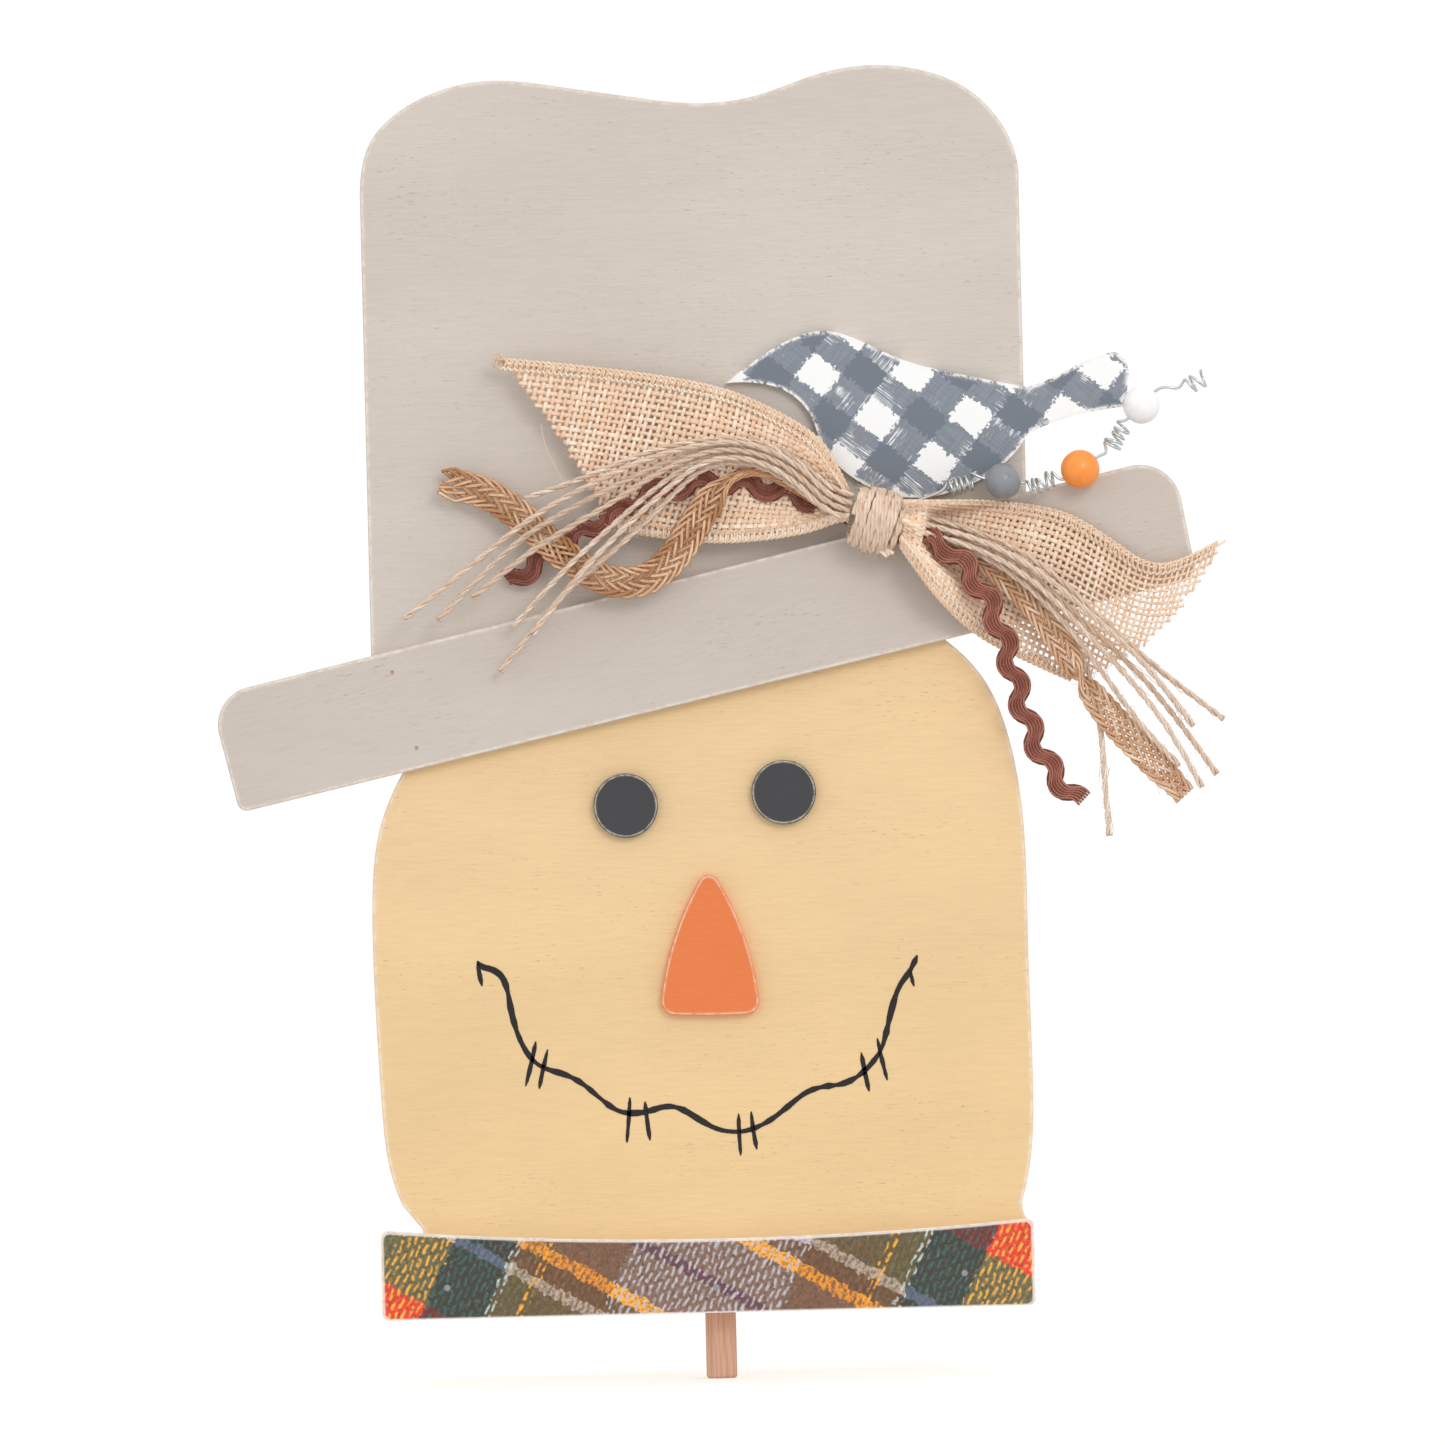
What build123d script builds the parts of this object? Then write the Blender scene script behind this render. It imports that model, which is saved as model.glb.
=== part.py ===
"""Scarecrow head on a peg: a flat wooden cut-out dressed with a burlap bow, a crow and a beaded wire."""
import math
import os

from build123d import *

os.makedirs("parts", exist_ok=True)

# Axes: X to the viewer's right, Y to the back, Z up. The origin is the middle of the peg,
# where it leaves the bottom edge of the board. All lengths are millimetres.

# ---- boards and overlays -------------------------------------------------------------------
BOARD_T = 18.0          # head board, front to back
BRIM_T = 5.0            # hat brim strip
COLLAR_T = 5.0          # collar strip
PAPER_T = 0.2           # printed paper on the collar
APPLIQUE_T = 3.0        # eyes, nose and crow
EDGE_BREAK = 0.5        # sanded front edges

BOARD_FRONT = -BOARD_T / 2
BRIM_FRONT = BOARD_FRONT - BRIM_T
COLLAR_FRONT = BOARD_FRONT - COLLAR_T
PAPER_FRONT = COLLAR_FRONT - PAPER_T

# ---- head board: hat crown, face and the flange behind the collar -----------------------------
HEAD_HEIGHT = 384.9         # from the foot to the top of the taller hump
CROWN_WIDTH = 204.0
CROWN_SHIFT = -1.2          # the crown's middle from the peg's axis
SHOULDER_LEFT_DROP = 39.9   # from the top down to where a side turns into its hump
SHOULDER_RIGHT_DROP = 37.9
HUMP_LEFT_IN = 41.2         # each hump's top from the side of the crown
HUMP_RIGHT_IN = 44.3
HUMP_LEFT_DROP = 2.0        # the left hump is a little lower
DIP_DROP = 10.5
DIP_SHIFT = 2.2             # the dip's lowest point from the crown's middle
CROWN_LEFT = CROWN_SHIFT - CROWN_WIDTH / 2
CROWN_RIGHT = CROWN_SHIFT + CROWN_WIDTH / 2
HUMP_LEFT = (CROWN_LEFT + HUMP_LEFT_IN, HEAD_HEIGHT - HUMP_LEFT_DROP)
HUMP_RIGHT = (CROWN_RIGHT - HUMP_RIGHT_IN, HEAD_HEIGHT)
DIP = (CROWN_SHIFT + DIP_SHIFT, HEAD_HEIGHT - DIP_DROP)
FACE_LEFT = -104.7          # the cheeks' widest places
FACE_RIGHT = 98.5
CHIN_LEFT_IN = 13.3         # the chin's corner from the left cheek
CHIN_TUCK_Z = 12.0          # how low the face's outline runs behind the collar

FLANGE_INSET = 1.2          # how far the board stops short of the collar's ends

# ---- hat brim ---------------------------------------------------------------------------------
BRIM_LENGTH = 306.1
BRIM_LEFT_W = 37.1          # the strip widens a little to the right
BRIM_RIGHT_W = 38.7
BRIM_SLOPE = 12.53          # degrees
BRIM_LEFT_LEAN = 0.87       # degrees from square at each end
BRIM_RIGHT_LEAN = -2.41
BRIM_MIDDLE = (0.2, 209.5)
BRIM_RADII = (12.0, 13.0, 4.0, 3.0)      # top left, top right, low right, low left
CROWN_TUCK = 16.0           # how far the crown's foot runs down behind the brim

# ---- collar -----------------------------------------------------------------------------------
COLLAR_LENGTH = 202.2
COLLAR_SHIFT = -3.5         # the collar's middle from the peg's axis
COLLAR_LEFT = COLLAR_SHIFT - COLLAR_LENGTH / 2
COLLAR_RIGHT = COLLAR_SHIFT + COLLAR_LENGTH / 2
COLLAR_LEFT_Z = 27.8        # height of the collar at its left end
COLLAR_MID_Z = 22.9
COLLAR_RIGHT_Z = 26.9
COLLAR_CORNER_R = 2.2

# ---- face pieces ------------------------------------------------------------------------------
EYE_D = 20.0
EYE_PLACES = [(-25.5, 157.5), (23.5, 160.5)]
NOSE_CORNERS = [(-16.5, 92.7), (14.6, 92.3), (-0.4, 138.3)]     # left, right and top, before rounding
NOSE_RADII = (4.5, 4.2, 3.3)
NOSE_SWELLS = (0.6, 3.4, 3.1)           # how far the foot and the sides swell out

# ---- peg and brads ----------------------------------------------------------------------------
PEG_D = 9.525               # 3/8 inch dowel
PEG_FREE = 20.6             # length standing out of the board
PEG_END_R = 1.0
TENON_D = 9.0               # the glued end is sanded down
TENON_LENGTH = 30.0
GLUE_ROOM = 0.02            # radial room round the tenon and round each brad
BRAD_D = 1.2
BRAD_HEAD_D = 1.9
BRAD_HEAD_T = 0.5
BRAD_REACH = 11.0           # how far a brad goes into the head board
BRAD_SUNK = 0.6             # the brim's headless brads are set below its face
BRIM_BRAD_PLACES = [(-96.6, 12.2), (-94.9, -12.3), (93.0, 13.7), (83.6, -10.3)]     # along and across the brim
COLLAR_BRADS = [(COLLAR_LEFT + 20.3, 9.7), (-1.2, 7.9), (COLLAR_RIGHT - 21.8, 10.4)]

# ---- knot of the bow ----------------------------------------------------------------------------
KNOT_X = 53.9
KNOT_Z = 243.8
KNOT_SLOPE = -15.4          # degrees, the knot's length slopes down to the right
KNOT_LENGTH = 16.5
CORE_HEIGHT = 16.0          # the bow's pinch inside the wrap
CORE_DEPTH = 14.0
WRAP_WALL = 1.9             # one turn of twine
WRAP_ROOM = 0.05
KNOT_STANDOFF = 0.25        # between the wrap and the brim's face
GLUE_W = 12.5               # the dab of glue behind the knot
GLUE_H = 11.5
WRAP_DEPTH = CORE_DEPTH + 2 * (WRAP_ROOM + WRAP_WALL)
KNOT_Y = BRIM_FRONT - KNOT_STANDOFF - WRAP_DEPTH / 2

# ---- ribbon, tails and their lanes, each lane in front of the last ---------------------------------
RIBBON_T = 4.0              # ribbon with its ripples
RIBBON_ROOM = 1.0           # the ribbon rides this far off the brim
RIBBON_BACK = BRIM_FRONT - RIBBON_ROOM
RIBBON_FRONT = RIBBON_BACK - RIBBON_T
RICKRACK_W = 9.0
RICKRACK_T = 1.0
BRAID_W = 10.0
BRAID_T = 2.0
TWINE_D = 2.0
LANE_GAP = 1.0
CLOSE_GAP = 0.6             # between the ribbon and the first lane, and between the two twine lanes
RICKRACK_Y = RIBBON_FRONT - CLOSE_GAP - RICKRACK_T / 2
BRAID_Y = RICKRACK_Y - RICKRACK_T / 2 - LANE_GAP - BRAID_T / 2
TWINE_Y = BRAID_Y - BRAID_T / 2 - LANE_GAP - TWINE_D / 2
TWINE_FRONT_Y = TWINE_Y - TWINE_D - CLOSE_GAP
TWINE_BACK_Y = RICKRACK_Y
TAIL_LEAD = 7.0             # straight run of a tail out of the knot

# ---- wire and beads -----------------------------------------------------------------------------
WIRE_D = 0.9
WIRE_STANDOFF = 6.6         # the wire's line from the brim's face
WIRE_Y = BRIM_FRONT - WIRE_STANDOFF
WIRE_RISE = 8.6             # where it leaves the knot's end face, above the middle
WIRE_LEAD = 2.0
COIL_R = 2.3                # centre of the wire in its curls
WIRE_BEND_R = 1.7
BEAD_BORE_D = 1.3
BEAD_GREY_D = 11.2
BEAD_ORANGE_D = 12.0
BEAD_WHITE_D = 11.5
BEAD_GREY = (39.7, 11.2)    # each bead's middle from the knot's
BEAD_ORANGE = (63.6, 14.3)
BEAD_WHITE = (83.0, 33.6)
BEAD_GREY_SLOPE = -8.0      # degrees of the wire through each bead
BEAD_ORANGE_SLOPE = 35.0
BEAD_WHITE_SLOPE = 46.0
BEAD_CLEAR = 0.9            # straight wire showing at each side of a bead


def save(piece, name):
    """Label a finished piece and write its STEP file."""
    piece.part.label = name
    export_step(piece.part, f"parts/{name}.step")


def facing(y):
    """Drawing plane that looks at the front of the figure: local x is X, local y is Z."""
    return Plane(origin=(0, y, 0), x_dir=(1, 0, 0), z_dir=(0, -1, 0))


def from_knot(*places):
    """Places measured from the knot's middle, as X and Z of the figure."""
    return [(KNOT_X + x, KNOT_Z + z) for x, z in places]


def round_corners(face, corners, radii):
    """Round the corners of a sketch, each by its own radius."""
    for corner, radius in zip(corners, radii):
        fillet(face.vertices().sort_by_distance((corner[0], corner[1], 0))[0], radius)


def front_edges(piece):
    """The edges all round a flat piece's front face."""
    return piece.faces().sort_by(Axis.Y)[0].edges()


# ---------------------------------------------------------------------------------------------
# Collar outline, shared by the collar, its paper and the board's flange
# ---------------------------------------------------------------------------------------------
def collar_outline(inset=0.0):
    """Straight foot, a shallow scooped top edge and rounded corners."""
    with BuildLine() as outline:
        foot = Line((COLLAR_LEFT + inset, 0), (COLLAR_RIGHT - inset, 0))
        right = Line(foot @ 1, (COLLAR_RIGHT - inset, COLLAR_RIGHT_Z - inset))
        left = Line(foot @ 0, (COLLAR_LEFT + inset, COLLAR_LEFT_Z - inset))
        ThreePointArc(left @ 1, (0, COLLAR_MID_Z - inset), right @ 1)
    return outline


# ---------------------------------------------------------------------------------------------
# Brim outline, shared by the brim, its brads and the crown's hidden foot
# ---------------------------------------------------------------------------------------------
def on_brim(along, across):
    """X and Z of a place on the brim, measured along and across it from its middle."""
    lie = math.radians(BRIM_SLOPE)
    x = BRIM_MIDDLE[0] + along * math.cos(lie) - across * math.sin(lie)
    z = BRIM_MIDDLE[1] + along * math.sin(lie) + across * math.cos(lie)
    return (x, z)


def brim_corner(side, up):
    """A corner of the brim: side is -1 at the left end, and up is 1 along the top."""
    half_w = (BRIM_LEFT_W if side < 0 else BRIM_RIGHT_W) / 2
    lean = math.radians(BRIM_LEFT_LEAN if side < 0 else BRIM_RIGHT_LEAN)
    return on_brim(side * BRIM_LENGTH / 2 - up * half_w * math.sin(lean), up * half_w * math.cos(lean))


def brim_height(x):
    """Height of the brim's middle line at this X."""
    return BRIM_MIDDLE[1] + (x - BRIM_MIDDLE[0]) * math.tan(math.radians(BRIM_SLOPE))


BRIM_CORNERS = [brim_corner(-1, 1), brim_corner(1, 1), brim_corner(1, -1), brim_corner(-1, -1)]
BRIM_BRADS = [on_brim(*place) for place in BRIM_BRAD_PLACES]


# ---------------------------------------------------------------------------------------------
# Head board: crown, face and flange are sawn from one board
# ---------------------------------------------------------------------------------------------
with BuildPart() as head_board:
    with BuildSketch(facing(BOARD_FRONT)):
        # crown with its two humps
        with BuildLine():
            foot_left = (CROWN_LEFT, brim_height(CROWN_LEFT) - CROWN_TUCK)
            foot_right = (CROWN_RIGHT, brim_height(CROWN_RIGHT) - CROWN_TUCK)
            crown_left = Line(foot_left, (CROWN_LEFT, HEAD_HEIGHT - SHOULDER_LEFT_DROP))
            crown_right = Line((CROWN_RIGHT, HEAD_HEIGHT - SHOULDER_RIGHT_DROP), foot_right)
            Spline(
                crown_left @ 1, (CROWN_LEFT + 0.6, HEAD_HEIGHT - 29.4), (CROWN_LEFT + 3.6, HEAD_HEIGHT - 20.1),
                (CROWN_LEFT + 10.7, HEAD_HEIGHT - 12.3), (CROWN_LEFT + 24.2, HEAD_HEIGHT - 5.1), HUMP_LEFT,
                (HUMP_LEFT[0] + 20.3, HUMP_LEFT[1] - 2.2), (DIP[0] - 16.0, DIP[1] + 1.9), DIP,
                (DIP[0] + 21.0, DIP[1] + 2.4), (HUMP_RIGHT[0] - 18.0, HUMP_RIGHT[1] - 2.6), HUMP_RIGHT,
                (HUMP_RIGHT[0] + 16.0, HEAD_HEIGHT - 2.2), (CROWN_RIGHT - 15.3, HEAD_HEIGHT - 8.0),
                (CROWN_RIGHT - 6.3, HEAD_HEIGHT - 16.9), (CROWN_RIGHT - 1.4, HEAD_HEIGHT - 26.4),
                crown_right @ 0,
            )
            Line(crown_right @ 1, crown_left @ 0)
        make_face()
        # face, its top hidden behind the brim
        with BuildLine():
            cheek_left = Spline(
                (FACE_LEFT + 20.7, 183.0), (FACE_LEFT + 10.4, 169.3), (FACE_LEFT + 2.8, 151.8),
                (FACE_LEFT, 128.6), (FACE_LEFT + 0.1, 100.0), (FACE_LEFT + 1.4, 66.6),
                (FACE_LEFT + 3.4, 47.0), (FACE_LEFT + 7.1, 35.4),
            )
            chin_left = Line(cheek_left @ 1, (FACE_LEFT + CHIN_LEFT_IN, COLLAR_LEFT_Z))
            chin_in = Line(chin_left @ 1, (FACE_LEFT + CHIN_LEFT_IN, CHIN_TUCK_Z))
            cheek_right = Spline(
                (FACE_RIGHT - 36.5, 214.0), (FACE_RIGHT - 23.8, 206.4), (FACE_RIGHT - 11.9, 193.5),
                (FACE_RIGHT - 4.6, 174.5), (FACE_RIGHT - 0.9, 148.0), (FACE_RIGHT - 0.5, 112.0),
                (FACE_RIGHT, 69.4), (FACE_RIGHT - 1.2, 46.0), (FACE_RIGHT - 4.2, 32.3),
            )
            chin_right = Line(cheek_right @ 1, (FACE_RIGHT - 4.2, CHIN_TUCK_Z))
            Line(chin_in @ 1, chin_right @ 1)
            Line(cheek_left @ 0, cheek_right @ 0)
        make_face()
        # flange behind the collar, and the small cove above it at the right
        add(collar_outline(FLANGE_INSET))
        make_face()
        with BuildLine():
            cove_foot = (FACE_RIGHT - 2.1, COLLAR_RIGHT_Z - FLANGE_INSET)
            cove_top = (FACE_RIGHT - 4.1, COLLAR_RIGHT_Z + 6.1)
            ThreePointArc(cove_top, (cove_top[0] + 0.2, cove_top[1] - 4.4), cove_foot)
            Polyline(cove_foot, (FACE_RIGHT - 8.5, COLLAR_RIGHT_Z - 6.9), cove_top)
        make_face()
    extrude(amount=-BOARD_T)
    fillet(front_edges(head_board), EDGE_BREAK)
    fillet(head_board.faces().sort_by(Axis.Y)[-1].edges(), EDGE_BREAK)
    # blind bore for the peg's tenon
    with Locations(Plane(origin=(0, 0, 0), z_dir=(0, 0, -1))):
        Hole(TENON_D / 2 + GLUE_ROOM, depth=TENON_LENGTH + GLUE_ROOM)
    # pilot holes of all the brads
    with BuildSketch(facing(BOARD_FRONT)):
        with Locations(*BRIM_BRADS, *COLLAR_BRADS):
            Circle(BRAD_D / 2 + GLUE_ROOM)
    extrude(amount=-BRAD_REACH, mode=Mode.SUBTRACT)
save(head_board, "head_board")


# ---------------------------------------------------------------------------------------------
# Hat brim: a tilted strip glued and bradded over the front of the board
# ---------------------------------------------------------------------------------------------
with BuildPart() as hat_brim:
    with BuildSketch(facing(BRIM_FRONT)) as brim_face:
        with BuildLine():
            Polyline(*BRIM_CORNERS, close=True)
        make_face()
        round_corners(brim_face, BRIM_CORNERS, BRIM_RADII)
    extrude(amount=-BRIM_T)
    fillet(front_edges(hat_brim), EDGE_BREAK)
    with BuildSketch(facing(BRIM_FRONT)):
        with Locations(*BRIM_BRADS):
            Circle(BRAD_D / 2 + GLUE_ROOM)
    extrude(amount=-BRIM_T, mode=Mode.SUBTRACT)
save(hat_brim, "hat_brim")


# ---------------------------------------------------------------------------------------------
# Collar and the printed paper on its front
# ---------------------------------------------------------------------------------------------
with BuildPart() as collar:
    with BuildSketch(facing(COLLAR_FRONT)) as collar_face:
        add(collar_outline())
        make_face()
        fillet(collar_face.vertices(), COLLAR_CORNER_R)
    extrude(amount=-COLLAR_T)
    with BuildSketch(facing(COLLAR_FRONT)):
        with Locations(*COLLAR_BRADS):
            Circle(BRAD_D / 2 + GLUE_ROOM)
    extrude(amount=-COLLAR_T, mode=Mode.SUBTRACT)
    with BuildSketch(facing(PAPER_FRONT)):
        with Locations(*COLLAR_BRADS):
            Circle(BRAD_HEAD_D / 2 + GLUE_ROOM)
    extrude(amount=-BRAD_HEAD_T, mode=Mode.SUBTRACT)
save(collar, "collar")

with BuildPart() as collar_paper:
    with BuildSketch(facing(PAPER_FRONT)) as paper_face:
        add(collar_outline(EDGE_BREAK))
        make_face()
        fillet(paper_face.vertices(), COLLAR_CORNER_R)
        with Locations(*COLLAR_BRADS):
            Circle(BRAD_HEAD_D / 2 + GLUE_ROOM, mode=Mode.SUBTRACT)
    extrude(amount=-PAPER_T)
save(collar_paper, "collar_paper")


# ---------------------------------------------------------------------------------------------
# Eyes and nose: thin wooden shapes glued on the face
# ---------------------------------------------------------------------------------------------
for eye_name, eye_place in zip(("eye_left", "eye_right"), EYE_PLACES):
    with BuildPart() as eye:
        with BuildSketch(facing(BOARD_FRONT)):
            with Locations(eye_place):
                Circle(EYE_D / 2)
        extrude(amount=APPLIQUE_T)
        fillet(front_edges(eye), EDGE_BREAK)
    save(eye, eye_name)

with BuildPart() as nose:
    with BuildSketch(facing(BOARD_FRONT)) as nose_face:
        with BuildLine():
            for start, end, swell in zip(NOSE_CORNERS, NOSE_CORNERS[1:] + NOSE_CORNERS[:1], NOSE_SWELLS):
                way = (Vector(*end) - Vector(*start)).normalized()
                middle = (Vector(*start) + Vector(*end)) / 2 + Vector(way.Y, -way.X) * swell
                ThreePointArc(start, middle, end)
        make_face()
        round_corners(nose_face, NOSE_CORNERS, NOSE_RADII)
    extrude(amount=APPLIQUE_T)
    fillet(front_edges(nose), EDGE_BREAK)
save(nose, "nose")


# ---------------------------------------------------------------------------------------------
# Crow: a thin wooden bird glued on the crown, its tail past the hat's edge
# ---------------------------------------------------------------------------------------------
with BuildPart() as crow:
    with BuildSketch(facing(BOARD_FRONT)):
        with BuildLine():
            crow_back = Spline(*from_knot(
                (-45.2, 43.6), (-31.0, 53.6), (-15.3, 59.1), (6.8, 50.8), (30.8, 43.9), (48.1, 40.2),
            ))
            tail_top = Spline(crow_back @ 1, *from_knot((57.5, 43.7), (66.6, 48.0), (75.3, 50.4)))
            tail_end = ThreePointArc(tail_top @ 1, *from_knot((78.8, 46.8), (79.1, 41.2)))
            tail_drop = Line(tail_end @ 1, *from_knot((78.6, 33.4)))
            tail_low = Spline(tail_drop @ 1, *from_knot((62.7, 31.1), (47.7, 25.8)))
            belly = Spline(tail_low @ 1, *from_knot(
                (40.4, 16.8), (29.1, 10.2), (12.6, 6.8), (-3.9, 11.7), (-17.1, 26.4),
            ))
            Spline(belly @ 1, *from_knot((-19.3, 33.0), (-24.9, 39.6), (-33.4, 43.1)), crow_back @ 0)
        make_face()
    extrude(amount=APPLIQUE_T)
save(crow, "crow")


# ---------------------------------------------------------------------------------------------
# Peg: a dowel whose sanded tenon is glued up into the board
# ---------------------------------------------------------------------------------------------
with BuildPart() as peg:
    with BuildSketch(Plane.XY):
        Circle(PEG_D / 2)
    extrude(amount=-PEG_FREE)
    fillet(peg.faces().sort_by(Axis.Z)[0].edges(), PEG_END_R)
    with BuildSketch(Plane.XY):
        Circle(TENON_D / 2)
    extrude(amount=TENON_LENGTH)
    # the middle collar brad pins the tenon
    with BuildSketch(facing(BOARD_FRONT)):
        with Locations(COLLAR_BRADS[1]):
            Circle(BRAD_D / 2 + GLUE_ROOM)
    extrude(amount=-BRAD_REACH, mode=Mode.SUBTRACT)
save(peg, "peg")


# ---------------------------------------------------------------------------------------------
# Brads: headless ones set below the brim's face, headed ones on the collar
# ---------------------------------------------------------------------------------------------
with BuildPart() as brim_brads:
    with BuildSketch(facing(BRIM_FRONT + BRAD_SUNK)):
        with Locations(*BRIM_BRADS):
            Circle(BRAD_D / 2)
    extrude(amount=-(BRIM_T - BRAD_SUNK + BRAD_REACH))
save(brim_brads, "brim_brads")

with BuildPart() as collar_brads:
    with BuildSketch(facing(PAPER_FRONT)):
        with Locations(*COLLAR_BRADS):
            Circle(BRAD_HEAD_D / 2)
    extrude(amount=-BRAD_HEAD_T)
    with BuildSketch(facing(PAPER_FRONT)):
        with Locations(*COLLAR_BRADS):
            Circle(BRAD_D / 2)
    extrude(amount=-(PAPER_T + COLLAR_T + BRAD_REACH))
save(collar_brads, "collar_brads")


# ---------------------------------------------------------------------------------------------
# Knot: a pinch in the burlap ribbon inside a close wrap of twine
# ---------------------------------------------------------------------------------------------
slope = math.radians(KNOT_SLOPE)
knot_out = Vector(math.cos(slope), 0, math.sin(slope))      # along the knot, to the right
knot_up = Vector(-math.sin(slope), 0, math.cos(slope))      # across the knot, upward
knot_middle = Vector(KNOT_X, KNOT_Y, KNOT_Z)


def knot_section(along):
    """Plane across the knot: local x is up across it, local y is towards the front."""
    return Plane(origin=knot_middle + knot_out * along, x_dir=knot_up, z_dir=knot_out)


def knot_mouth(side, rise, y):
    """A point on the knot's end face: side -1 is the left one and 1 the right one."""
    point = knot_middle + knot_out * (side * KNOT_LENGTH / 2) + knot_up * rise
    return (point.X, y, point.Z)


def first_run(side, rise, y, length):
    """Where a tail's first straight run ends, square to the knot's end face."""
    mouth = Vector(*knot_mouth(side, rise, y))
    return tuple(mouth + knot_out * (side * length))


with BuildPart() as twine_wrap:
    with BuildSketch(knot_section(-KNOT_LENGTH / 2)):
        Ellipse(CORE_HEIGHT / 2 + WRAP_ROOM + WRAP_WALL, CORE_DEPTH / 2 + WRAP_ROOM + WRAP_WALL)
        Ellipse(CORE_HEIGHT / 2 + WRAP_ROOM, CORE_DEPTH / 2 + WRAP_ROOM, mode=Mode.SUBTRACT)
    extrude(amount=KNOT_LENGTH)
save(twine_wrap, "twine_wrap")

RIBBON_LEFT_RISES = (-4.5, 7.6)     # the ribbon's lower and upper edges at the knot's left face
RIBBON_RIGHT_RISES = (-7.0, 7.0)


def ribbon_start(side, rise):
    """X and Z where an edge of the ribbon leaves the knot."""
    mouth = knot_mouth(side, rise, 0)
    return (mouth[0], mouth[2])


with BuildPart() as burlap_ribbon:
    with BuildSketch(knot_section(-KNOT_LENGTH / 2)):
        Ellipse(CORE_HEIGHT / 2, CORE_DEPTH / 2)
    extrude(amount=KNOT_LENGTH)
    with BuildSketch(facing(RIBBON_FRONT)):
        with BuildLine():
            left_top = Spline(ribbon_start(-1, RIBBON_LEFT_RISES[1]), *from_knot(
                (-18.9, 27.5), (-34.5, 36.8), (-56.9, 44.9), (-83.9, 49.2), (-114.7, 52.7),
            ))
            left_cut = Spline(left_top @ 1, *from_knot((-103.4, 33.7), (-94.9, 15.7), (-82.9, -0.3)))
            left_foot = Spline(
                left_cut @ 1, *from_knot((-67.1, -3.3), (-45.9, -5.4), (-27.9, -4.2)),
                ribbon_start(-1, RIBBON_LEFT_RISES[0]),
            )
            Line(left_foot @ 1, left_top @ 0)
        make_face()
    extrude(amount=-RIBBON_T)
    with BuildSketch(facing(RIBBON_FRONT)):
        with BuildLine():
            right_top = Spline(ribbon_start(1, RIBBON_RIGHT_RISES[1]), *from_knot(
                (22.1, 5.1), (37.1, 4.6), (50.6, 2.8), (61.6, -0.6), (73.1, -8.6), (82.7, -15.3), (90.1, -16.0),
                (106.4, -8.8),
            ))
            right_cut = Spline(right_top @ 1, *from_knot((98.5, -24.2), (85.6, -38.8), (60.1, -51.2)))
            right_foot = Spline(
                right_cut @ 1, *from_knot((44.5, -43.8), (30.4, -36.1), (19.2, -25.5)),
                ribbon_start(1, RIBBON_RIGHT_RISES[0]),
            )
            Line(right_foot @ 1, right_top @ 0)
        make_face()
    extrude(amount=-RIBBON_T)
save(burlap_ribbon, "burlap_ribbon")

# a dab of glue fills the space between the knot, the brim and the crown
with BuildPart() as bow_glue:
    with BuildSketch(facing(BOARD_FRONT)):
        with Locations((KNOT_X, KNOT_Z)):
            Ellipse(GLUE_W / 2, GLUE_H / 2)
    extrude(amount=BRIM_T + KNOT_STANDOFF + WRAP_WALL)
    add(hat_brim.part, mode=Mode.SUBTRACT)
    with BuildSketch(knot_section(-KNOT_LENGTH)):
        Ellipse(CORE_HEIGHT / 2 + WRAP_ROOM + WRAP_WALL, CORE_DEPTH / 2 + WRAP_ROOM + WRAP_WALL)
    extrude(amount=2 * KNOT_LENGTH, mode=Mode.SUBTRACT)
save(bow_glue, "bow_glue")


# ---------------------------------------------------------------------------------------------
# Tails of the bow. Each route is a list of (X, Y, Z) points, from the knot to the free end.
# ---------------------------------------------------------------------------------------------
def bend_radii(route):
    """One radius for each inner point: as large as its two runs allow."""
    points = [Vector(*point) for point in route]
    radii = []
    for before, here, after in zip(points, points[1:], points[2:]):
        shorter = min((here - before).length, (after - here).length)
        turn = math.radians((here - before).get_angle(after - here))
        radii.append(0.45 * shorter / math.tan(turn / 2))
    return radii


def lay_cord(name, route, width, thickness=None):
    """Sweep a round or a flat tail along straight runs joined by tangent arcs."""
    radii = bend_radii(route)
    with BuildPart() as cord:
        with BuildLine() as run:
            FilletPolyline(*route, radius=radii)
        start = Plane(origin=run.line @ 0, x_dir=(0, 1, 0), z_dir=run.line % 0)
        with BuildSketch(start):
            if thickness is None:
                Circle(width / 2)
            else:
                Rectangle(thickness, width)
        sweep(path=run.line)
    save(cord, name)
    area = math.pi * width**2 / 4 if thickness is None else width * thickness
    length = run.wires()[0].length
    print(
        f"{name}: length {length:.0f}, smallest radius {min(radii):.1f}, "
        f"volume / (section x length) {cord.part.volume / (area * length):.3f}"
    )


# left of the hat the tails leave the ribbon's cut end and settle back on to the crown
SETTLE_FROM = -86.9         # from the knot's middle
SETTLE_TO = -119.9
SETTLE_BY = 8.6
SETTLE_LESS = 0.4           # a tail lying on others settles this much less for each mm in front


def settled(lane_y, x):
    """The lane's Y at this X, easing back where the ribbon no longer lies under the tail."""
    share = min(max((SETTLE_FROM - x) / (SETTLE_FROM - SETTLE_TO), 0.0), 1.0)
    depth = SETTLE_BY - SETTLE_LESS * (RICKRACK_Y - lane_y)
    return lane_y + depth * share * share * (3 - 2 * share)


def left_route(lane_y, rise, flat):
    """A left tail from the knot's left face through places measured from the knot's middle."""
    guides = [(KNOT_X + x, settled(lane_y, x), KNOT_Z + z) for x, z in flat]
    return [knot_mouth(-1, rise, lane_y), first_run(-1, rise, lane_y, TAIL_LEAD)] + guides


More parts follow.
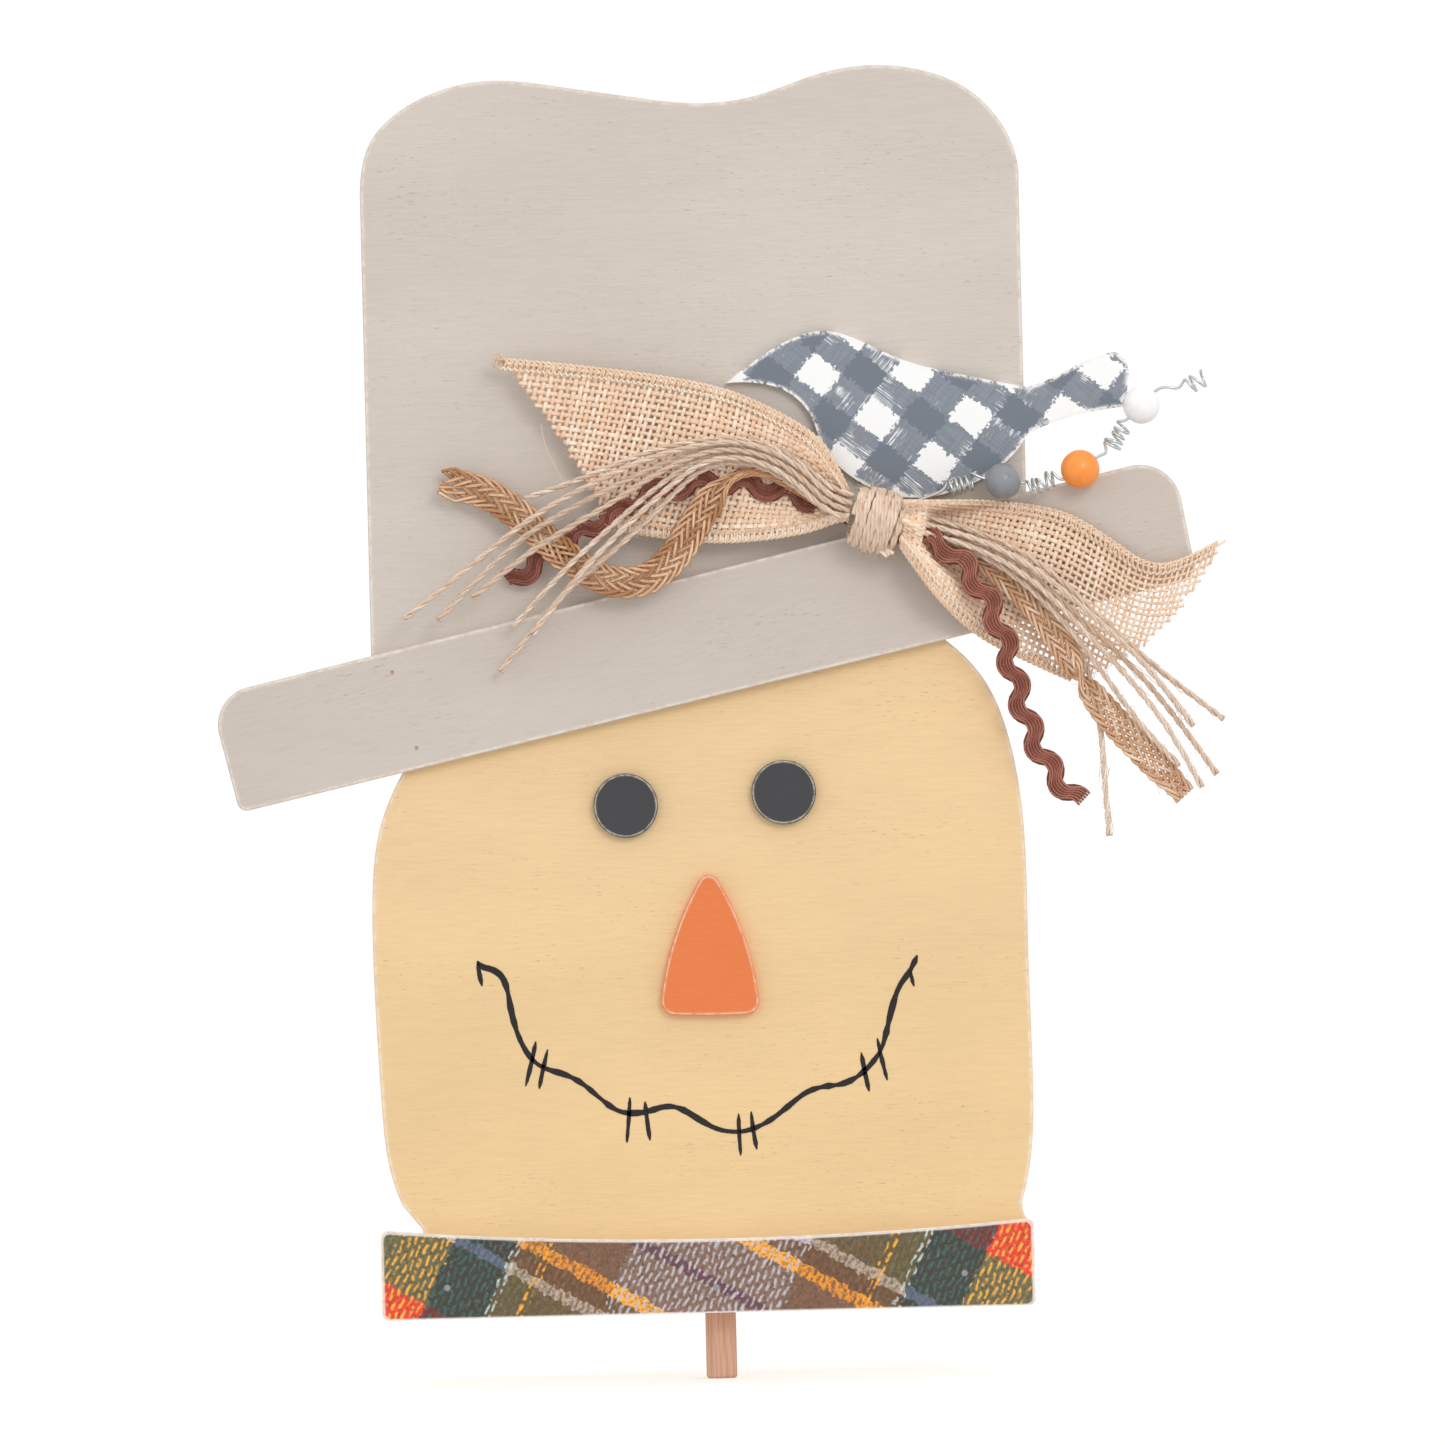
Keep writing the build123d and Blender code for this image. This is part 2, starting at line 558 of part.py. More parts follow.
def right_route(lane_y, rise, flat):
    """A right tail from the knot's right face through places measured from the knot's middle."""
    guides = [(KNOT_X + x, lane_y, KNOT_Z + z) for x, z in flat]
    return [knot_mouth(1, rise, lane_y), first_run(1, rise, lane_y, TAIL_LEAD)] + guides


lay_cord("rickrack_left", left_route(RICKRACK_Y, 1.0, [
    (-26.9, 9.2), (-40.9, 12.8), (-55.9, 13.2), (-69.9, 9.8), (-83.9, 2.6), (-99.4, -6.6),
    (-114.2, -16.7),
]), RICKRACK_W, RICKRACK_T)
lay_cord("rickrack_right", right_route(RICKRACK_Y, -1.0, [
    (23.6, -10.8), (30.6, -20.3), (35.9, -31.3), (39.5, -42.8), (42.7, -53.8), (46.9, -64.8),
    (52.5, -75.8), (59.6, -86.3),
]), RICKRACK_W, RICKRACK_T)

lay_cord("braid_left", left_route(BRAID_Y, 0.5, [
    (-24.4, 10.2), (-35.4, 17.0), (-46.4, 13.6), (-54.7, 2.2), (-61.5, -9.2), (-70.3, -16.8),
    (-81.3, -17.8), (-92.1, -12.2), (-102.1, -3.4), (-111.9, 6.0), (-122.3, 13.2), (-134.9, 15.2),
]), BRAID_W, BRAID_T)
lay_cord("braid_right", right_route(BRAID_Y, 1.0, [
    (27.6, -9.0), (38.6, -17.2), (48.1, -27.4), (55.7, -38.4), (62.1, -50.2), (69.5, -60.8),
    (77.5, -69.8), (85.6, -78.2), (94.0, -87.6),
]), BRAID_W, BRAID_T)

LEFT_TWINES = [
    (TWINE_Y, 5.75, [
        (-20.3, 16.4), (-30.4, 23.3), (-42.6, 26.6), (-54.5, 26.0), (-69.9, 23.0), (-83.7, 17.6),
        (-96.2, 13.0), (-108.3, 9.4),
    ]),
    (TWINE_FRONT_Y, 3.2, [
        (-21.0, 15.5), (-30.9, 22.3), (-42.7, 25.5), (-54.3, 24.7), (-70.9, 20.6), (-88.9, 12.9),
        (-104.9, 4.5), (-117.9, -5.0), (-131.4, -15.8), (-146.4, -26.8),
    ]),
    (TWINE_Y, 3.45, [
        (-21.7, 14.6), (-31.4, 21.2), (-42.8, 24.3), (-54.1, 23.3), (-68.9, 17.7), (-84.9, 10.5),
        (-98.9, 3.6), (-110.9, -3.6), (-122.4, -14.1), (-136.4, -27.8),
    ]),
    (TWINE_FRONT_Y, 0.9, [
        (-22.4, 13.7), (-31.9, 20.2), (-42.9, 23.2), (-53.9, 22.2), (-67.4, 16.1), (-80.9, 7.6),
        (-94.9, 0.0), (-108.9, -8.2), (-125.1, -21.0),
    ]),
    (TWINE_Y, 1.15, [
        (-23.1, 12.8), (-32.4, 19.2), (-43.0, 22.1), (-53.7, 20.7), (-64.9, 13.8), (-75.4, 5.4),
        (-85.5, -3.2), (-97.4, -13.6), (-112.9, -30.3),
    ]),
    (TWINE_FRONT_Y, -1.4, [
        (-23.8, 11.9), (-32.9, 18.1), (-43.1, 20.9), (-53.5, 19.2), (-63.4, 12.0), (-72.9, 3.8),
        (-82.4, -4.8), (-92.9, -15.4), (-107.1, -32.8),
    ]),
    (TWINE_Y, -1.15, [
        (-24.5, 11.0), (-33.3, 17.1), (-43.2, 19.6), (-53.3, 17.5), (-62.4, 9.6), (-71.4, 0.8),
        (-81.4, -7.6), (-92.4, -16.0), (-103.9, -27.6), (-117.4, -44.3),
    ]),
]
for number, (lane_y, rise, flat) in enumerate(LEFT_TWINES, start=1):
    lay_cord(f"twine_left_{number}", left_route(lane_y, rise, flat), TWINE_D)

RIGHT_TWINES = [
    (TWINE_BACK_Y, 5.8, [
        (28.6, -3.4), (40.1, -11.8), (50.5, -22.8), (58.7, -35.0), (64.5, -47.4), (67.5, -59.8),
        (68.5, -72.8), (69.0, -85.8), (69.9, -99.1),
    ]),
    (TWINE_Y, 0.0, [
        (28.1, -9.2), (40.1, -16.2), (50.9, -25.6), (60.5, -36.6), (68.7, -48.2), (76.3, -59.8),
        (83.7, -69.4), (92.3, -78.4),
    ]),
    (TWINE_FRONT_Y, 0.0, [
        (28.5, -8.4), (41.1, -14.5), (52.6, -23.8), (62.7, -34.8), (71.7, -44.6), (79.7, -54.0),
        (86.7, -63.4), (93.1, -73.8), (98.7, -84.8),
    ]),
    (TWINE_Y, 2.4, [
        (29.1, -6.6), (41.7, -13.2), (53.3, -22.6), (63.5, -33.0), (73.1, -42.2), (81.9, -51.2),
        (89.7, -61.2), (96.9, -71.2), (103.7, -81.3),
    ]),
    (TWINE_FRONT_Y, 2.6, [
        (29.3, -5.8), (42.3, -11.8), (54.3, -20.4), (65.1, -30.0), (75.3, -39.4), (83.3, -48.0),
        (90.3, -57.2), (96.7, -66.3),
    ]),
    (TWINE_Y, 4.8, [
        (29.7, -3.8), (43.1, -9.6), (55.1, -18.2), (65.3, -28.6), (74.9, -37.8), (84.7, -46.8),
        (95.1, -55.4), (106.3, -64.3),
    ]),
]
for number, (lane_y, rise, flat) in enumerate(RIGHT_TWINES, start=1):
    lay_cord(f"twine_right_{number}", right_route(lane_y, rise, flat), TWINE_D)


# ---------------------------------------------------------------------------------------------
# Beaded wire: springy curls between three wooden beads
# ---------------------------------------------------------------------------------------------
def along(place, slope_degrees, distance):
    """A point on the wire's line through a bead, this far from the bead's middle."""
    angle = math.radians(slope_degrees)
    x, z = from_knot(place)[0]
    return (x + distance * math.cos(angle), WIRE_Y, z + distance * math.sin(angle))


def on_wire(x, z):
    """A point of the wire, measured from the knot's middle."""
    return (KNOT_X + x, WIRE_Y, KNOT_Z + z)


def curl(start, end, turns, per_turn=6):
    """Points of a curl round the line from start to end, which are measured from the knot's middle."""
    axis = Vector(end[0] - start[0], 0, end[1] - start[1])
    reach = axis.length
    axis = axis.normalized()
    side = Vector(-axis.Z, 0, axis.X)
    front = Vector(0, -1, 0)
    points = []
    for step in range(turns * per_turn + 1):
        angle = 2 * math.pi * step / per_turn
        middle = Vector(*on_wire(*start)) + axis * (reach * step / (turns * per_turn))
        point = middle + side * (COIL_R * math.cos(angle)) + front * (COIL_R * math.sin(angle))
        points.append(tuple(point))
    return points


def wire_radii(route):
    """Bends of the wire: none wider than a curl's own, so that it runs straight through the beads."""
    return [min(0.9 * radius, WIRE_BEND_R) for radius in bend_radii(route)]


grey_half = BEAD_GREY_D / 2 + BEAD_CLEAR
orange_half = BEAD_ORANGE_D / 2 + BEAD_CLEAR
white_half = BEAD_WHITE_D / 2 + BEAD_CLEAR
wire_route = [
    knot_mouth(1, WIRE_RISE, WIRE_Y),
    first_run(1, WIRE_RISE, WIRE_Y, WIRE_LEAD),
    on_wire(16.6, 6.8),
    on_wire(21.5, 8.8),
    *curl((23.3, 9.4), (30.9, 11.4), 4),
    along(BEAD_GREY, BEAD_GREY_SLOPE, -grey_half),
    along(BEAD_GREY, BEAD_GREY_SLOPE, grey_half),
    *curl((48.3, 9.9), (54.9, 11.4), 3),
    along(BEAD_ORANGE, BEAD_ORANGE_SLOPE, -orange_half),
    along(BEAD_ORANGE, BEAD_ORANGE_SLOPE, orange_half),
    on_wire(71.3, 18.8),
    *curl((73.7, 21.6), (77.5, 27.2), 4),
    along(BEAD_WHITE, BEAD_WHITE_SLOPE, -white_half),
    along(BEAD_WHITE, BEAD_WHITE_SLOPE, white_half),
    on_wire(90.7, 39.2),
    on_wire(94.7, 38.2),
    *curl((97.7, 39.2), (103.1, 41.8), 2),
]
with BuildPart() as bead_wire:
    with BuildLine() as wire_run:
        FilletPolyline(*wire_route, radius=wire_radii(wire_route))
    with BuildSketch(Plane(origin=wire_run.line @ 0, z_dir=wire_run.line % 0)):
        Circle(WIRE_D / 2)
    sweep(path=wire_run.line)
save(bead_wire, "bead_wire")

for bead_name, bead_place, bead_slope, bead_d in (
    ("bead_grey", BEAD_GREY, BEAD_GREY_SLOPE, BEAD_GREY_D),
    ("bead_orange", BEAD_ORANGE, BEAD_ORANGE_SLOPE, BEAD_ORANGE_D),
    ("bead_white", BEAD_WHITE, BEAD_WHITE_SLOPE, BEAD_WHITE_D),
):
    bead_middle = along(bead_place, bead_slope, 0)
    bead_axis = Vector(*along(bead_place, bead_slope, 1)) - Vector(*bead_middle)
    bead_plane = Plane(origin=bead_middle, x_dir=bead_axis, z_dir=(0, -1, 0))
    with BuildPart() as bead:
        with BuildSketch(bead_plane):
            Circle(bead_d / 2)
            Rectangle(bead_d, bead_d, align=(Align.CENTER, Align.MAX), mode=Mode.SUBTRACT)
            Rectangle(bead_d, BEAD_BORE_D, mode=Mode.SUBTRACT)
        revolve(axis=Axis(bead_plane.origin, bead_axis))
    save(bead, bead_name)
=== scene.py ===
"""Scarecrow head on a peg: painted boards, a burlap bow with jute and rick-rack tails, a crow and
a beaded wire."""
import math
import random

import bpy
import numpy as np
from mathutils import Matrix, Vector


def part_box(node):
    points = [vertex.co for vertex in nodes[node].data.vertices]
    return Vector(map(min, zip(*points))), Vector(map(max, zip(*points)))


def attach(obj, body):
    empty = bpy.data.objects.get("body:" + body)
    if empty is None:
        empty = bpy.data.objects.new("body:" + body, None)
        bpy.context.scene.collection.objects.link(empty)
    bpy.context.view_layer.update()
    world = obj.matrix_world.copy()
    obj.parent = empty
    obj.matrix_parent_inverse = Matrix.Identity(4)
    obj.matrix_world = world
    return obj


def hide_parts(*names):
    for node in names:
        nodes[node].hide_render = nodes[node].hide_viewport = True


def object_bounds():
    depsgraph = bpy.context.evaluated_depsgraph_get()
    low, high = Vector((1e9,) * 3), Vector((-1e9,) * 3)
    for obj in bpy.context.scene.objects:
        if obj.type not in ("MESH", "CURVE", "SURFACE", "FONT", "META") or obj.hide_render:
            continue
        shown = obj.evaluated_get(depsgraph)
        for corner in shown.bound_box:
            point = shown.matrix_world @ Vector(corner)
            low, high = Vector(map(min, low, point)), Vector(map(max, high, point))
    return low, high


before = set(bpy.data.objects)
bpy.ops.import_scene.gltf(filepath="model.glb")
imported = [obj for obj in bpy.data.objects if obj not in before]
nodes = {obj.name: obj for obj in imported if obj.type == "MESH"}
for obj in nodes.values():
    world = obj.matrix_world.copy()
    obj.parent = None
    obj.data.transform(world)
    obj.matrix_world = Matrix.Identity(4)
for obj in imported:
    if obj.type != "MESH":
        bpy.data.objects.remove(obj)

cad_low, cad_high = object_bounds()
scene = bpy.context.scene


# ==== Head board ===============================================================================
# One sawn board makes the hat crown, the face and the flange behind the collar. It is softwood
# under two thin coats of matt paint, brushed along the grain and sanded through at its edges.
def paint(red, green, blue):
    """A colour mixed from eight-bit values, as the shader wants it."""
    parts = [value / 255 for value in (red, green, blue)]
    return tuple(v / 12.92 if v <= 0.04045 else ((v + 0.055) / 1.055) ** 2.4 for v in parts) + (1.0,)


def wire_up(tree, value, socket):
    """Feed a socket from another node's output, or set it to a plain value."""
    if isinstance(value, bpy.types.NodeSocket):
        tree.links.new(value, socket)
    else:
        socket.default_value = value


def new_shader(name, colour, roughness):
    """A new material and its shader, ready for more detail."""
    material = bpy.data.materials.new(name)
    material.use_nodes = True
    shader = material.node_tree.nodes["Principled BSDF"]
    shader.inputs["Base Color"].default_value = colour
    shader.inputs["Roughness"].default_value = roughness
    return material, material.node_tree, shader


def put(tree, kind, sockets=(), **settings):
    """Add a shader node with its settings, and feed the sockets named."""
    made = tree.nodes.new("ShaderNode" + kind)
    for key, value in settings.items():
        setattr(made, key, value)
    for key, value in dict(sockets).items():
        wire_up(tree, value, made.inputs[key])
    return made


def place(tree, turn=(0, 0, 0), stretch=(1, 1, 1), shift=(0, 0, 0)):
    """Metres in the object's own frame, turned, then stretched and shifted."""
    where = put(tree, "TexCoord").outputs["Object"]
    if any(turn):
        where = put(tree, "Mapping", {"Vector": where, "Rotation": turn}).outputs[0]
    return put(tree, "Mapping", {"Vector": where, "Scale": stretch, "Location": shift}).outputs[0]


def cloud(tree, where, scale, detail=3.0, roughness=0.55):
    """Soft random cloud from 0 to 1. The scale is roughly how many lumps it has in a metre."""
    return put(tree, "TexNoise", {
        "Vector": where, "Scale": scale, "Detail": detail, "Roughness": roughness,
    }).outputs["Fac"]


def step(tree, value, low, high, out_low=0.0, out_high=1.0):
    """Ease from out_low to out_high as the value goes from low to high."""
    return put(tree, "MapRange", {
        "Value": value, "From Min": low, "From Max": high, "To Min": out_low, "To Max": out_high,
    }, interpolation_type="SMOOTHSTEP").outputs["Result"]


def reckon(tree, kind, a, b=0.0, c=0.0):
    """Arithmetic on values, of the kind named."""
    return put(tree, "Math", {0: a, 1: b, 2: c}, operation=kind).outputs[0]


def times(tree, a, b):
    """One value times another."""
    return reckon(tree, "MULTIPLY", a, b)


def coat(tree, share, under, over):
    """Lay one colour over another by a share from 0 to 1."""
    mix = tree.nodes.new("ShaderNodeMix")
    mix.data_type = "RGBA"
    for index, value in ((0, share), (6, under), (7, over)):
        wire_up(tree, value, mix.inputs[index])
    return mix.outputs[2]


def rough_up(tree, shader, height, strength, distance):
    """Raise the surface by a height pattern."""
    bump = put(tree, "Bump", {"Height": height, "Strength": strength, "Distance": distance})
    tree.links.new(bump.outputs[0], shader.inputs["Normal"])


def sharp_edges(tree, radius):
    """1 at a sharp edge, easing to 0 at about the radius from it."""
    flat, rounded = 0.997, 0.90      # how well the rounded-off normal agrees with the true one
    soft = put(tree, "Bevel", {"Radius": radius}, samples=8).outputs[0]
    true = put(tree, "NewGeometry").outputs["Normal"]
    facing = put(tree, "VectorMath", {0: soft, 1: true}, operation="DOT_PRODUCT").outputs["Value"]
    return step(tree, facing, flat, rounded)


def clear_of(tree, spots, radius):
    """0 within a radius of these spots of the front, and 1 away from them."""
    where = put(tree, "TexCoord").outputs["Object"]
    flat = put(tree, "VectorMath", {0: where, 1: (1, 0, 1)}, operation="MULTIPLY").outputs[0]
    share = 1.0
    for x, z in spots:
        gap = put(tree, "VectorMath", {0: flat, 1: (x, 0, z)}, operation="DISTANCE").outputs["Value"]
        share = times(tree, share, step(tree, gap, radius * 0.9, radius * 1.1))
    return share


def painted_wood(
    name, colour, bare=(240, 228, 216), grain=(112, 90, 66), streak=0.5, edge=0.0028, lie=0.0,
    brads=(), pink=0.5,
):
    """Thin matt paint on softwood.

    The grain shows through it by streak and lies at the angle lie. The paint is sanded through to
    the bare wood over the width of an edge, but not round the brads' holes, and by pink a little
    is left there.
    """
    material, tree, shader = new_shader(name, colour if isinstance(colour, tuple) else (1, 1, 1, 1), 0.72)
    if callable(colour):
        colour = colour(tree)
    grain_tone = paint(*grain)
    # broad brush variation, then short dark grain lines that come in patches
    broad = step(tree, cloud(tree, place(tree, stretch=(1, 1, 2.5)), 9, 2), 0.3, 0.7)
    shown = coat(tree, times(tree, broad, 0.08), colour, grain_tone)
    lines = cloud(tree, place(tree, turn=(0, lie, 0), stretch=(0.07, 1, 1)), 1700, 4, 0.6)
    ticks = place(tree, turn=(0, lie, 0), stretch=(0.16, 1, 1), shift=(0.4, 0, 0.2))
    ticks = step(tree, cloud(tree, ticks, 1900, 3, 0.6), 0.61, 0.72)
    patches = place(tree, stretch=(0.5, 1, 1.3), shift=(0.3, 0, 0.7))
    patches = step(tree, cloud(tree, patches, 30, 3), 0.40, 0.66)
    shown = coat(tree, times(tree, step(tree, lines, 0.35, 0.75), 0.08), shown, grain_tone)
    shown = coat(tree, times(tree, times(tree, ticks, patches), streak), shown, grain_tone)
    # the sanded edge: bare wood, pinkish where a little paint is left, broken up along its length
    near = sharp_edges(tree, edge)
    if brads:
        near = times(tree, near, clear_of(tree, brads, edge * 0.8))
    scuffs = cloud(tree, place(tree), 300, 4, 0.75)
    bloom = times(tree, step(tree, near, 0.05, 0.4), step(tree, scuffs, 0.48, 0.56, 0.0, pink))
    shown = coat(tree, bloom, shown, paint(206, 168, 150))
    worn = times(tree, step(tree, near, 0.25, 0.75), step(tree, scuffs, 0.62, 0.40, 0.35, 1.0))
    shown = coat(tree, worn, shown, paint(*bare))
    tree.links.new(shown, shader.inputs["Base Color"])
    rough_up(tree, shader, lines, 0.25, 0.0004)
    return material


BRIM_LINE_HEIGHT = 0.2093     # height of the brim's middle line at X = 0
BRIM_LINE_SLOPE = 0.223


def crown_and_face(tree):
    """Grey-beige above the brim's line, straw yellow below it and a little deeper towards the chin."""
    axes = put(tree, "SeparateXYZ", {0: put(tree, "TexCoord").outputs["Object"]})
    line = reckon(tree, "MULTIPLY_ADD", axes.outputs["X"], BRIM_LINE_SLOPE, BRIM_LINE_HEIGHT)
    above = reckon(tree, "GREATER_THAN", axes.outputs["Z"], line)
    low = step(tree, axes.outputs["Z"], 0.17, 0.03)
    face = coat(tree, low, paint(238, 205, 156), paint(231, 198, 147))
    return coat(tree, above, face, paint(208, 198, 188))


def finish_node(name, material):
    """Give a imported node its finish."""
    for index in range(len(nodes[name].material_slots)):
        nodes[name].material_slots[index].link = "OBJECT"
        nodes[name].material_slots[index].material = material


finish_node("head_board", painted_wood("crown_and_face_paint", crown_and_face))


# ==== Hat brim =================================================================================
# A thin strip of the same softwood, in the crown's paint. It is glued over the front of the board
# on the slant, and its brads are driven in near both ends. There the edge isn't sanded.
BRIM_BRADS = [(-0.0968, 0.2005), (-0.0898, 0.1769), (0.0880, 0.2431), (0.0840, 0.2176)]
finish_node("hat_brim", painted_wood(
    "brim_paint", paint(205, 194, 184), streak=0.5, lie=math.atan(BRIM_LINE_SLOPE), brads=BRIM_BRADS,
))


# ==== Eyes and nose ============================================================================
# Thin plywood shapes glued to the face: two charcoal discs and an orange carrot nose. Their
# edges are sanded back to the pale ply.
finish_node("eye_left", painted_wood(
    "eye_paint", paint(61, 61, 64), bare=(255, 240, 214), grain=(40, 41, 44), streak=0.7,
    edge=0.0018, pink=0.0,
))
finish_node("eye_right", nodes["eye_left"].material_slots[0].material)
finish_node("nose", painted_wood(
    "nose_paint", paint(228, 124, 66), bare=(242, 230, 208), grain=(170, 84, 40), streak=0.3,
    edge=0.0020, pink=0.0,
))


# ==== Smile ====================================================================================
# A line of black ink drawn on the face with a flat pen, with short stitch strokes across it.
# It has no thickness to speak of, and its width wavers with the hand.
SMILE = [
    (-72.5, 110.5), (-71.6, 108.6), (-67.9, 107.9), (-64.9, 105.6), (-63.4, 101.2), (-62.6, 95.0),
    (-61.2, 89.1), (-59.2, 83.8), (-56.2, 79.1), (-52.2, 76.5), (-46.1, 74.8), (-40.9, 71.9),
    (-36.0, 67.4), (-30.9, 63.2), (-26.9, 62.2), (-21.6, 62.4), (-15.3, 64.4), (-10.4, 63.4),
    (-4.3, 59.2), (0.9, 56.3), (7.1, 55.5), (12.1, 56.6), (17.4, 59.3), (22.5, 63.2), (27.8, 67.4),
    (32.9, 69.1), (40.3, 69.6), (46.6, 73.4), (51.7, 79.5), (53.4, 85.1), (55.1, 92.1),
    (57.5, 99.5), (61.6, 104.4), (63.6, 109.0),
]
STITCHES = [
    [(-55.1, 85.2), (-56.6, 78.2), (-58.6, 71.4)], [(-51.5, 82.7), (-53.2, 76.4), (-54.4, 70.5)],
    [(-26.4, 67.2), (-26.9, 60.0), (-27.7, 53.2)], [(-21.8, 65.8), (-21.3, 59.6), (-20.5, 53.7)],
    [(7.1, 61.4), (7.0, 54.9), (7.5, 48.3)], [(11.0, 61.9), (11.4, 55.9), (12.5, 50.1)],
    [(45.5, 79.4), (46.4, 73.4), (47.7, 67.2)], [(50.6, 83.6), (51.8, 76.9), (53.4, 70.5)],
    [(-72.6, 110.6), (-72.2, 106.6), (-71.3, 102.7)], [(61.6, 104.4), (61.5, 101.9), (62.4, 99.4)],
]
face_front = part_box("head_board")[0][1]
INK_PROUD = 0.00012      # how far the ink lies in front of the paint
STROKE_STEP = 0.0004     # from one point of a stroke to the next
ROUGH_EDGE = 0.00006
WAVER_EVERY = 6          # points from one change of width to the next
TAPER_OVER = 5           # points over which an end narrows
END_WIDTH = 0.25         # the width at the very end, as a share
hand = random.Random(5)


def reach_along(line):
    """The distance along a line to each of its points."""
    return np.concatenate([[0], np.cumsum(np.linalg.norm(np.diff(line, axis=0), axis=1))])


def laid_line(route, spacing):
    """The smooth line past some guide points, as evenly spaced points in metres."""
    curve = bpy.data.curves.new("line", "CURVE")
    curve.dimensions = "3D"
    spline = curve.splines.new("NURBS")
    spline.points.add(len(route) - 1)
    for point, guide in zip(spline.points, route):
        point.co = (*guide, 1)
    spline.order_u = 3
    spline.use_endpoint_u = True
    spline.resolution_u = 16
    holder = bpy.data.objects.new("line", curve)
    scene.collection.objects.link(holder)
    mesh = bpy.data.meshes.new_from_object(holder)
    raw = np.array([vertex.co[:] for vertex in mesh.vertices])
    bpy.data.objects.remove(holder)
    bpy.data.meshes.remove(mesh)
    reach = reach_along(raw)
    count = max(3, int(round(reach[-1] / spacing)) + 1)
    at = np.linspace(0, reach[-1], count)
    return np.stack([np.interp(at, reach, raw[:, axis]) for axis in range(3)], axis=1)


def new_piece(name, mesh, material, body="figure"):
    """Make a mesh a piece that rides on a body."""
    mesh.materials.append(material)
    piece = bpy.data.objects.new(name, mesh)
    scene.collection.objects.link(piece)
    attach(piece, body)
    return piece


def pen_stroke(points, faces, line, widest, narrowest):
    """Add a flat stroke whose width wavers, in millimetres, and narrows at both ends."""
    flat = laid_line([(x / 1000, face_front - INK_PROUD, z / 1000) for x, z in line], STROKE_STEP)
    run = np.gradient(flat, axis=0)
    run /= np.linalg.norm(run, axis=1)[:, None]
    across = np.stack([-run[:, 2], np.zeros(len(run)), run[:, 0]], axis=1)
    first = len(points)
    waver = [hand.uniform(narrowest, widest) for _ in range(len(flat) // WAVER_EVERY + 3)]
    for index, (middle, side) in enumerate(zip(flat, across)):
        spot = index / WAVER_EVERY
        share = spot - int(spot)
        width = waver[int(spot)] * (1 - share) + waver[int(spot) + 1] * share
        from_end = min(index, len(flat) - 1 - index) / TAPER_OVER
        half = width * min(1.0, END_WIDTH + (1 - END_WIDTH) * from_end) / 2000
        points.append(middle - side * (half + hand.uniform(0, ROUGH_EDGE)))
        points.append(middle + side * (half + hand.uniform(0, ROUGH_EDGE)))
        if index:
            here = first + 2 * index
            faces.append((here - 2, here, here + 1, here - 1))


ink, ink_tree, ink_shader = new_shader("ink", paint(28, 23, 22), 0.75)
blots = cloud(ink_tree, place(ink_tree), 900, 4)
ink_tone = coat(ink_tree, step(ink_tree, blots, 0.62, 0.8), paint(26, 21, 20), paint(66, 54, 44))
ink_tree.links.new(ink_tone, ink_shader.inputs["Base Color"])
ink_points, ink_faces = [], []
pen_stroke(ink_points, ink_faces, SMILE, 2.1, 1.15)
for stroke in STITCHES:
    pen_stroke(ink_points, ink_faces, stroke, 1.5, 0.95)
smile_mesh = bpy.data.meshes.new("smile")
smile_mesh.from_pydata(ink_points, [], ink_faces)
new_piece("smile", smile_mesh, ink)


# ==== Collar ===================================================================================
# A strip like the brim across the foot of the face, faced with printed paper that shows a
# brushed wool plaid on the bias. The paper's edge and the wood around it are sanded white.
COLLAR_BRADS = [(-0.0843, 0.0097), (-0.0012, 0.0079), (0.0758, 0.0104)]
finish_node("collar", painted_wood("collar_paint", paint(232, 222, 213), streak=0.2, brads=COLLAR_BRADS))

# The plaid is the same to both sides of its middle line each way. Colours by the distance from
# it: the weft lies as the ground, and the warp's floats show on it as short dashes.
WARP_MIDDLE = -9.3
WARP_LEAN = math.radians(-25.8)
WARP_DASHES = [
    (0, (190, 184, 190)), (24.8, (118, 84, 54)), (46.4, (246, 170, 44)), (49.2, (104, 98, 64)),
    (55.6, (186, 204, 196)), (57.8, (50, 92, 90)), (75.6, (240, 172, 56)), (92, (120, 112, 66)),
]
WARP_SHADE = [
    (0, (255, 255, 255)), (24.8, (238, 218, 190)), (57.6, (126, 141, 168)), (75.4, (255, 255, 255)),
]
WEFT_MIDDLE = 8.0
WEFT_LEAN = math.radians(60.0)
WEFT_GROUND = [
    (0, (102, 58, 72)), (1.4, (132, 100, 84)), (14.6, (246, 168, 46)), (18.6, (116, 82, 50)),
    (24.4, (192, 186, 190)), (27.8, (104, 98, 62)), (48.5, (232, 54, 26)),
]
DASH_WIDE = 1.9
DASH_LONG = 4.6
DASH_SWAY = 0.0030       # how far the dashes wander
BAND_FRAY = 0.0042       # how ragged the bands' sides are
BAND_DRIFT = 1.9         # how far that fraying carries the bands along, in millimetres


def bands(tree, value, stops):
    """Bands of plain colour by a distance in millimetres."""
    longest = stops[-1][0] + 10
    ramp = put(tree, "ValToRGB", {"Fac": reckon(tree, "DIVIDE", value, longest)})
    ramp.color_ramp.interpolation = "CONSTANT"
    marks = ramp.color_ramp.elements
    for index, (start, colour) in enumerate(stops):
        mark = marks[index] if index < 2 else marks.new(start / longest)
        mark.position = start / longest
        mark.color = paint(*colour)
    return ramp.outputs["Color"]


